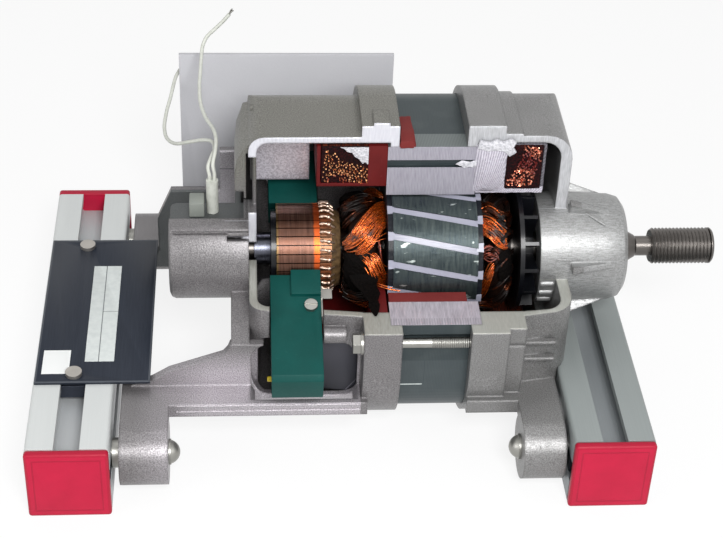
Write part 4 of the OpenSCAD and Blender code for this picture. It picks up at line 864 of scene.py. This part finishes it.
def fan_strands(start, stop, r_start, r_stop, lift, strands, seed):
    """A bundle of strands from one patch [sx, first angle, last angle] to another, over the head."""
    dice = random.Random(seed)
    paths = []
    for copy in range(HEAD_REPEATS):
        for s in range(strands):
            u = s / (strands - 1)
            a0 = start[1] + (start[2] - start[1]) * u + dice.uniform(-0.8, 0.8)
            a1 = stop[1] + (stop[2] - stop[1]) * u + dice.uniform(-1.6, 1.6)
            x0, x1 = start[0] + dice.uniform(-0.5, 0.5), stop[0] + dice.uniform(-0.3, 0.3)
            layer, sway = dice.uniform(-2.6, 0.6), dice.uniform(-7.0, 7.0)
            path = []
            for i in range(13):
                t = i / 12
                arch = sin(pi * t)
                r = r_start + (r_stop - r_start) * t ** 0.7 + lift * arch + layer * (0.4 + 0.6 * arch)
                along = t * t * (3 - 2 * t) * 0.5 + t * 0.5
                a = a0 + (a1 - a0) * along + sway * arch + 360 / HEAD_REPEATS * copy
                path.append(around(x0 + (x1 - x0) * t, r, a))
            paths.append(path)
    return paths


def wind_heads():
    """The two winding heads of the rotor: soaked loops, loose strands and taped patches."""
    for node, strands in (("left", loop_strands(134.7, 19.4, 24.4, 1.6, SLOTS, 20, 7, 1)),
                          ("right", loop_strands(196.1, 15.2, 27.4, 1.4, SLOTS, 20, 6, 2))):
        loops = wires(node + "_head_loops", strands, 0.5, "soaked_wire", 5)
        settle(loops, "copper", node + "_winding", body="rotor")

    for name, radius, finish, bundles in (
            ("bright_strands", 0.27, "bright_wire", BRIGHT_BUNDLES),
            ("reddish_strands", 0.4, "red_wire", RED_BUNDLES),
            ("head_lacing", 0.42, "soaked_wire", LACED_BUNDLES)):
        strands = [path for bundle in bundles for path in fan_strands(*bundle)]
        settle(wires(name, strands, radius, finish, 6), "copper", body="rotor")

    for side, rows in (("left", ((135.6, 149, 181, 22.3), (137.8, 150, 190, 23.9), (140.6, 151, 196, 24.7),
                                 (143.6, 158, 196, 24.9), (145.8, 166, 192, 24.5))),
                       ("right", ((203.4, 150, 176, 26.4), (205.6, 148, 182, 26.3), (207.8, 146, 184, 25.3),
                                  (209.6, 150, 178, 23.9)))):
        settle(varnish_patch(side + "_head_tape", rows), "dark_resin", body="rotor")


def varnish_patch(name, rows):
    """Dark taped patches that lie over a head, from rows of [sx, first angle, last angle, radius]."""
    dice = random.Random(12)
    across, thickness = 15, 1.3
    points, faces = [], []
    for copy in range(HEAD_REPEATS):
        start = len(points)
        for inward in (0.0, thickness):
            for j, (sx, a0, a1, r) in enumerate(rows):
                for i in range(across):
                    u = i / (across - 1)
                    edge = 1 - (2 * u - 1) ** 6
                    bump = 0.5 * sin(i * 1.9 + j) * edge + dice.uniform(-0.15, 0.15)
                    ragged = dice.uniform(-1.8, 1.8) if i in (0, across - 1) else 0.0
                    a = a0 + (a1 - a0) * u + ragged + 360 / HEAD_REPEATS * copy
                    wave = dice.uniform(-0.35, 0.35) if j in (0, len(rows) - 1) else 0.0
                    points.append(around(sx + wave, r + (0.5 * edge + bump * 0.5 - inward), a))
        faces += skin_faces(len(rows), across, start)
    return closed(mesh_object(name, points, faces, "tape", 60))


# Sectioned field coils

def scatter(outline, gap, count, seed, density=None):
    """Points inside an outline of [sx, height], no closer than a gap."""
    dice = random.Random(seed)
    xs, zs = [p[0] for p in outline], [p[1] for p in outline]
    kept = []
    for _ in range(count * 30):
        x, z = dice.uniform(min(xs), max(xs)), dice.uniform(min(zs), max(zs))
        chance = dice.random()
        inside = False
        for (x0, z0), (x1, z1) in zip(outline, outline[1:] + outline[:1]):
            if (z0 > z) != (z1 > z) and x < (x1 - x0) * (z - z0) / (z1 - z0) + x0:
                inside = not inside
        if not inside or (density and chance > density(x, z)):
            continue
        if all((x - a) ** 2 + (z - b) ** 2 > gap * gap for a, b in kept):
            kept.append((x, z))
            if len(kept) == count:
                break
    return kept


def rough_copy(node, name, finish, voxel, lump):
    """A wound or wrapped solid, remeshed and made lumpy as string and varnish leave it."""
    obj = smooth_copy(node, name, finish)
    modify(obj, "REMESH", mode="VOXEL", voxel_size=voxel * MM)
    baked(obj)
    lumps = bpy.data.textures.new(name + "_lumps", "CLOUDS")
    lumps.noise_scale = 2.2 * MM
    modify(obj, "DISPLACE", texture=lumps, texture_coords="LOCAL", strength=lump * MM, mid_level=0.62)
    modify(obj, "SMOOTH", factor=0.3, iterations=2)
    baked(obj)
    obj.data.materials.clear()
    obj.data.materials.append(FINISH[finish])
    obj.data.shade_smooth()
    return obj


def cut_scrap(name, outline, proud, depth, edge):
    """A torn scrap of paper or string, from an outline of [sx, height], proud of the upright cut."""
    points = [at(x, CUT_Y - proud, z) for x, z in outline]
    settle(slab(name, points, depth, "torn", (0, -1, 0), edge), "white_wrap")


def fan_string():
    """White string that swells out of the upright cut beside the core."""
    across, up = 19, 15
    left_sx, foot, high, proud = 192.2, 34.2, 23.6, 2.6
    rows = []
    for j in range(up):
        v = j / (up - 1)
        wide = 11.2 + 3.6 * v + 0.8 * sin(7 * v)
        row = []
        for i in range(across):
            u = i / (across - 1)
            swell = sin(pi * v) ** 0.6 * (0.35 + 0.65 * sin(pi * min(1, u * 0.9 + 0.1)))
            y = CUT_Y - 0.25 - proud * swell * min(1, 6 * u + 0.05)
            row.append(at(left_sx + wide * u, y, foot + high * v))
        rows.append(row)
    settle(sheet("string_fan", rows, 1.2, "wrap", (0, 1, 0), 0.12, 5), "white_wrap")


def make_coils():
    """Lumpy coils and wrapping, and what their upright cut shows."""
    for node, name, finish, slot, voxel in (
            ("upper_field_coil", "upper_coil_turns", "coil", "coil", 0.7),
            ("lower_field_coil", "lower_coil_turns", "coil", "coil", 0.8),
            ("coil_wrap", "string_wrap", "wrap", "white_wrap", 0.5)):
        settle(rough_copy(node, name, finish, voxel, 0.5), slot, node)

    def left_crowd(x, z):
        if x < 133:
            return 0.55 if z > 42 else 0.2
        return 0.95 if z < 50.5 - (x - 133) * 0.3 else 0.0

    left = [(125.9, 39.2), (145.4, 39.0), (145.4, 48.6), (139, 50.5), (133, 54.6), (127, 55.6)]
    right = [(213.2, 57.0), (220.6, 57.0), (220.4, 50.0), (219.0, 44.0), (217.6, 37.0), (211.0, 35.7),
             (206.5, 37.2), (206.8, 41.0), (210.6, 45.0), (212.2, 50.0)]
    for name, places, radius, length, tilt, finish, seed in (
            ("left_cut_wires", scatter(left, 0.86, 122, 4, left_crowd), 0.34, 1.2, 0.5, "wire_end", 3),
            ("right_cut_wires", scatter(right, 0.8, 118, 6), 0.42, 1.4, 0.7, "coral_end", 8)):
        ends = [at(x, CUT_Y - 0.1, z) for x, z in places]
        settle(studs(name, ends, radius, length, tilt, finish, 7, seed), "coil")

    cut_scrap("coil_paper_fold", (
        (133.4, 57.2), (145.7, 57.2), (145.7, 48.4), (144.2, 49.6), (143.2, 48.8), (141.6, 51.2),
        (139.8, 52.4), (138.6, 54.4), (136.4, 54.9), (135.2, 56.4)), 0.05, 0.5, 0.12)

    fan_string()

    cut_scrap("torn_groove_end", (
        (183.5, 48.5), (186.2, 50.4), (190, 49.7), (192.4, 50.5), (194.2, 48.5), (191.6, 46.9), (189.4, 47.2),
        (187.6, 46.5), (186.4, 47.4)), 0.3, 0.5, 0.12)
    cut_scrap("torn_wrap_top", (
        (192.4, 57.4), (193.4, 61.2), (197.8, 60.0), (200.6, 61.6), (203.4, 60.2), (206.8, 61.8),
        (209.2, 60.2), (208.0, 57.6), (209.6, 55.2), (206.6, 53.0), (204.4, 55.6), (200.2, 56.2),
        (196.6, 55.8)), 0.4, 1.6, 0.3)


# Details

def dress_rotor():
    """Slot liner tabs that stand out of both ends of the rotor's core."""
    r, thick = 31.15, 0.55
    wide = degrees(1.75 / r)
    tabs = [(sx, out, i * 360 / SLOTS - turn)
            for sx, out, turn in zip(ROTOR_ENDS, (-1, 1), (0.0, 13.0)) for i in range(SLOTS)]
    points, faces = [], []
    for sx, out, a in tabs:
        start = len(points)
        for x, half in ((sx - out * 0.6, wide), (sx + out * 2.3, wide * 1.15)):
            for side in (-1, 1):
                for rr in (r, r + thick):
                    points.append(around(x, rr, a + side * half))
        faces += [tuple(start + i for i in q) for q in
                  ((0, 1, 3, 2), (4, 6, 7, 5), (0, 4, 5, 1), (2, 3, 7, 6), (1, 5, 7, 3), (0, 2, 6, 4))]
    liners = mesh_object("slot_liner_tabs", points, faces, "liner")
    settle(liners, "wedge", body="rotor")


def hook_commutator():
    """Two beads and a bent end of wire on every commutator bar."""
    outer, inner, ends = [], [], []
    for i in range(BARS):
        a = 360 / BARS * i - 90
        outer.append(around(126.3, 20.4, a))
        inner.append(around(129.2, 20.6, a + 1.2))
        ends.append([around(sx, r, a + turn) for sx, r, turn in
                     ((125.3, 20.2, 0), (126.4, 21.0, 0), (128.6, 20.9, 0.8), (130.3, 19.6, 1.6),
                      (131.6, 18.6, 2.2))])
    settle(beads("hook_beads", outer, 0.8, "solder", (1.3, 1.0, 1.0)), "steel", body="rotor")
    settle(beads("solder_beads", inner, 0.92, "solder", (1.2, 1.0, 1.0)), "steel", body="rotor")
    settle(wires("hooked_wires", ends, 0.5, "solder", 6), "copper", body="rotor")


def fill_gaps():
    """Torn tape, cheeks, papers and linings that show between the big pieces."""
    rows = [[at(125.9 + 20.4 * i / 12, y - 1.6 * sin(pi * i / 12), z) for i in range(13)]
            for y, z in ((-41.2, -17), (-41.2, -24), (-41.4, -31), (-41.8, -36), (-42.2, -41), (-42.6, -46))]
    settle(sheet("window_lining", rows, 1.0, "window", (0, 1, 0)), "casting")

    bore_r = 26.6
    turns = [radians(a) for a in range(181, 244, 6)]
    edge = [(bore_r * cos(a), bore_r * sin(a)) for a in turns]
    outline = [at(147.2, y, z) for y, z in edge + [(-24, -38), (-38, -34), (-46.2, -24), (-46.3, -0.6)]]
    settle(slab("lower_bobbin_cheek", outline, 6.2, "maroon", (1, 0, 0), 0.3), "maroon")

    rag = [((137.6, -25.4, 3.4), (149.2, -25.6, 4.6)), ((138.6, -27.4, 1.6), (150.4, -27.2, 3.0)),
           ((140.4, -30.4, 1.0), (149.6, -30.0, 2.4)), ((142.8, -33.4, 0.4), (149.9, -33.0, 2.0)),
           ((143.8, -36.6, 0.4), (150.6, -36.2, 1.6)), ((145.6, -40.2, 0.4), (149.4, -40.4, 1.4)),
           ((145.2, -43.8, 0.5), (150.0, -44.2, 1.2)), ((146.4, -47.6, 0.6), (149.2, -47.9, 0.9)),
           ((147.2, -50.2, 0.5), (148.3, -50.4, 0.6))]
    rows = [[at(*(a + (b - a) * i / 6 for a, b in zip(start, stop))) for i in range(7)]
            for start, stop in rag]
    settle(sheet("torn_black_tape", rows, 0.4, "tape", (0, 0.4, 1), 0.22, 9), "dark_resin")

    rows = [[at(160.2 + 5.0 * i / 5 - (0.9 if y < 4 else 0) * (1 - i / 5), y, z) for i in range(6)]
            for y, z in ((-5.6, 57.3), (-5.4, 60.0), (-1.0, 61.0), (5.0, 60.4), (12.0, 59.8), (16.0, 59.4))]
    settle(sheet("folded_paper", rows, 0.7, "paper", (0, 0.3, -1), 0.2, 3), "maroon")

    wire = [at(*p) for p in ((147.4, -27.2, 0.9), (149.4, -29.8, 1.3), (152.4, -31.4, 1.3),
                             (155.6, -32.2, 0.8), (159.6, -32.7, 0.6))]
    pair = [wire, [p + Vector((0.8, 0.5, 0.5)) * MM for p in wire[:4]]]
    settle(wires("stray_wire", pair, 0.3, "bright_wire", 6), "copper")

    profile = [(101.4, 0.0), (101.4, 1.1), (103.4, 1.3), (103.4, 0.0)]
    settle(turned_mesh("holder_pin", profile, "ochre", 16, -61.5, -24.5), "carbon")

    ridges = [[at(62 + 8.0 * i, -63.0, z) for i in range(11)] for z in (-38.1, -41.2)]
    settle(wires("ledge_ridges", ridges, 0.55, "left_casting", 10), "casting")

    fins = [[around(222.8 + 0.6 * i, 24.4, a) for i in range(11)] for a in (186, 199, 213)]
    settle(wires("hub_fins", fins, 1.7, "right_casting", 14), "casting")

    ridges = [[around(224 + 3 * i, 23.0 + 2.1 * sin(pi * min(1.0, i / 7)), 158) for i in range(11)],
              [around(236 + 1.7 * i, 25.1 - 0.05 * i, 96 + 2.9 * i) for i in range(10)],
              [around(227.4, 23.4, 100 + 5.8 * i) for i in range(11)]]
    settle(wires("hub_ridges", ridges, 0.55, "right_casting", 10), "casting")


def thread_bolts():
    """Ring grooves on the bare ends of the two tie bolts."""
    core_r, crest_r, pitch, stop_sx = 2.27, 2.52, 0.8, 187.4
    for side, name in ((-1, "front"), (1, "rear")):
        profile = [(171.8, 2.1)]
        sx = 172.0
        while sx < stop_sx:
            profile += [(sx, core_r), (sx + 0.4, crest_r)]
            sx += pitch
        profile += [(sx, core_r), (sx + 0.1, 2.1)]
        piece = turned_mesh(name + "_tie_thread", profile, "zinc", 32, side * 57, side * 9)
        settle(piece, "steel")


def dress_nodes():
    """Finishes for the solids that show as they are."""
    for finish, nodes in (
            ("light_rail", "left_rail"), ("grey_rail", "right_rail"), ("pale_screw", "nameplate_screws"),
            ("nut", "nameplate_nuts foot_nuts"), ("core", "core"), ("paper", "slot_paper"),
            ("zinc", "foot_bolts foot_spacers tie_bolts tie_washers front_brush_spring rear_brush_spring"),
            ("zinc", "holder_screws brush_terminals panel_screws"), ("carbon", "front_brush rear_brush"),
            ("turned", "left_bearing_outer left_bearing_inner left_ball_set shaft"),
            ("turned", "right_bearing_outer right_bearing_inner right_ball_set"),
            ("black", "sensor_coil sensor_cap commutator_end_ring fan"), ("sleeve", "lead_sleeve"),
            ("dark_steel", "shaft_spacer sensor_magnet"), ("rotor_core", "rotor_core"),
            ("liner", "slot_wedges"), ("varnish", "left_head_core right_head_core"),
            ("bars", "commutator_bars"), ("hub", "commutator_hub"), ("resin", "commutator_resin")):
        for node in nodes.split():
            mesh = NODES[node].data
            mesh.materials.clear()
            mesh.materials.append(FINISH[finish])


def dress_solids():
    """Solids whose edges are rounded in the real thing."""
    caps = [(side + end + "_cap", side + "cap", "red_cap", 1.1, 3)
            for side in ("left_", "right_") for end in ("front", "rear")]
    for node, finish, slot, radius, steps in caps + [
            ("nameplate", "plate", "navy_plate", 0.25, 2), ("front_brush_holder", "green", "teal", 1.2, 3),
            ("rear_brush_holder", "green", "teal", 1.0, 2), ("upper_bobbin", "maroon", "maroon", 0.3, 2),
            ("lower_bobbin", "maroon", "maroon", 0.3, 2),
            ("sensor_socket", "grey_plastic", "grey_plastic", 0.5, 2),
            ("rear_panel", "panel", "panel", 0.4, 2)]:
        piece = smooth_copy(node, node + "_shell", finish, radius, steps)
        settle(piece, slot, node, body=BODY_OF[node])
    for side in ("left_", "right_"):
        node = side + "housing"
        settle(smooth_copy(node, node + "_casting", side + "casting"), "casting", node)


# Floor and light

def seen_ray(tree):
    """1 for a ray from the camera, off a shiny face or through something clear, and 0 for any other."""
    look = tree.nodes.new("ShaderNodeLightPath")
    ray = look.outputs["Is Camera Ray"]
    for other in ("Is Glossy Ray", "Is Transmission Ray"):
        either = write_node(tree, "ShaderNodeMath", [ray, look.outputs[other]], operation="MAXIMUM")
        ray = either.outputs[0]
    return ray


def set_stage():
    """Pale floor, white surroundings and four soft lamps."""
    floor = Finish("plain_floor")
    seen = Tone(floor, seen_ray(floor.tree))
    lit = floor.node("BsdfDiffuse", {"Color": (0.9, 0.9, 0.9, 1)})
    white = floor.node("Emission", {"Color": (1, 1, 1, 1), "Strength": 1.0})
    white_share = 0.84
    both = floor.node("MixShader", [seen * white_share, lit, white])
    feed(floor.tree, floor.tree.nodes["Material Output"].inputs["Surface"], both)
    corners = [(-3, -3, 0), (3, -3, 0), (3, 3, 0), (-3, 3, 0)]
    FINISH["floor"] = floor.material
    plane = mesh_object("floor", corners, [(0, 1, 2, 3)], "floor")

    world = bpy.data.worlds.new("studio")
    SCENE.world = world
    world.use_nodes = True
    tree = world.node_tree
    back = tree.nodes["Background"]
    back.inputs["Color"].default_value = (1, 1, 1, 1)
    light_from_it, seen_strength = 0.27, 1.0
    strength = write_node(tree, "ShaderNodeMapRange",
                          {"Value": seen_ray(tree), "To Min": light_from_it, "To Max": seen_strength})
    feed(tree, back.inputs["Strength"], strength.outputs[0])

    # place and size in metres, power in watts
    for name, place, size, power in (
            ("key", (0.1, -0.86, 0.84), 0.4, 12.8), ("fill", (0.7, -0.5, 0.6), 0.6, 1.1),
            ("side", (-0.75, -0.5, 0.45), 0.5, 2.0), ("top", (0.0, 0.25, 1.1), 0.8, 1.6)):
        lamp = bpy.data.lights.new(name, "AREA")
        lamp.size, lamp.energy = size, power
        obj = bpy.data.objects.new(name, lamp)
        obj.location = place
        obj.rotation_euler = (Vector(LAMP_TARGET) - Vector(place)).to_track_quat("-Z", "Y").to_euler()
        SCENE.collection.objects.link(obj)
    SCENE.view_settings.view_transform = "Standard"


stand_camera()
lay_leads()
wind_heads()
make_coils()
dress_rotor()
hook_commutator()
fill_gaps()
thread_bolts()
dress_nodes()
dress_solids()
set_stage()
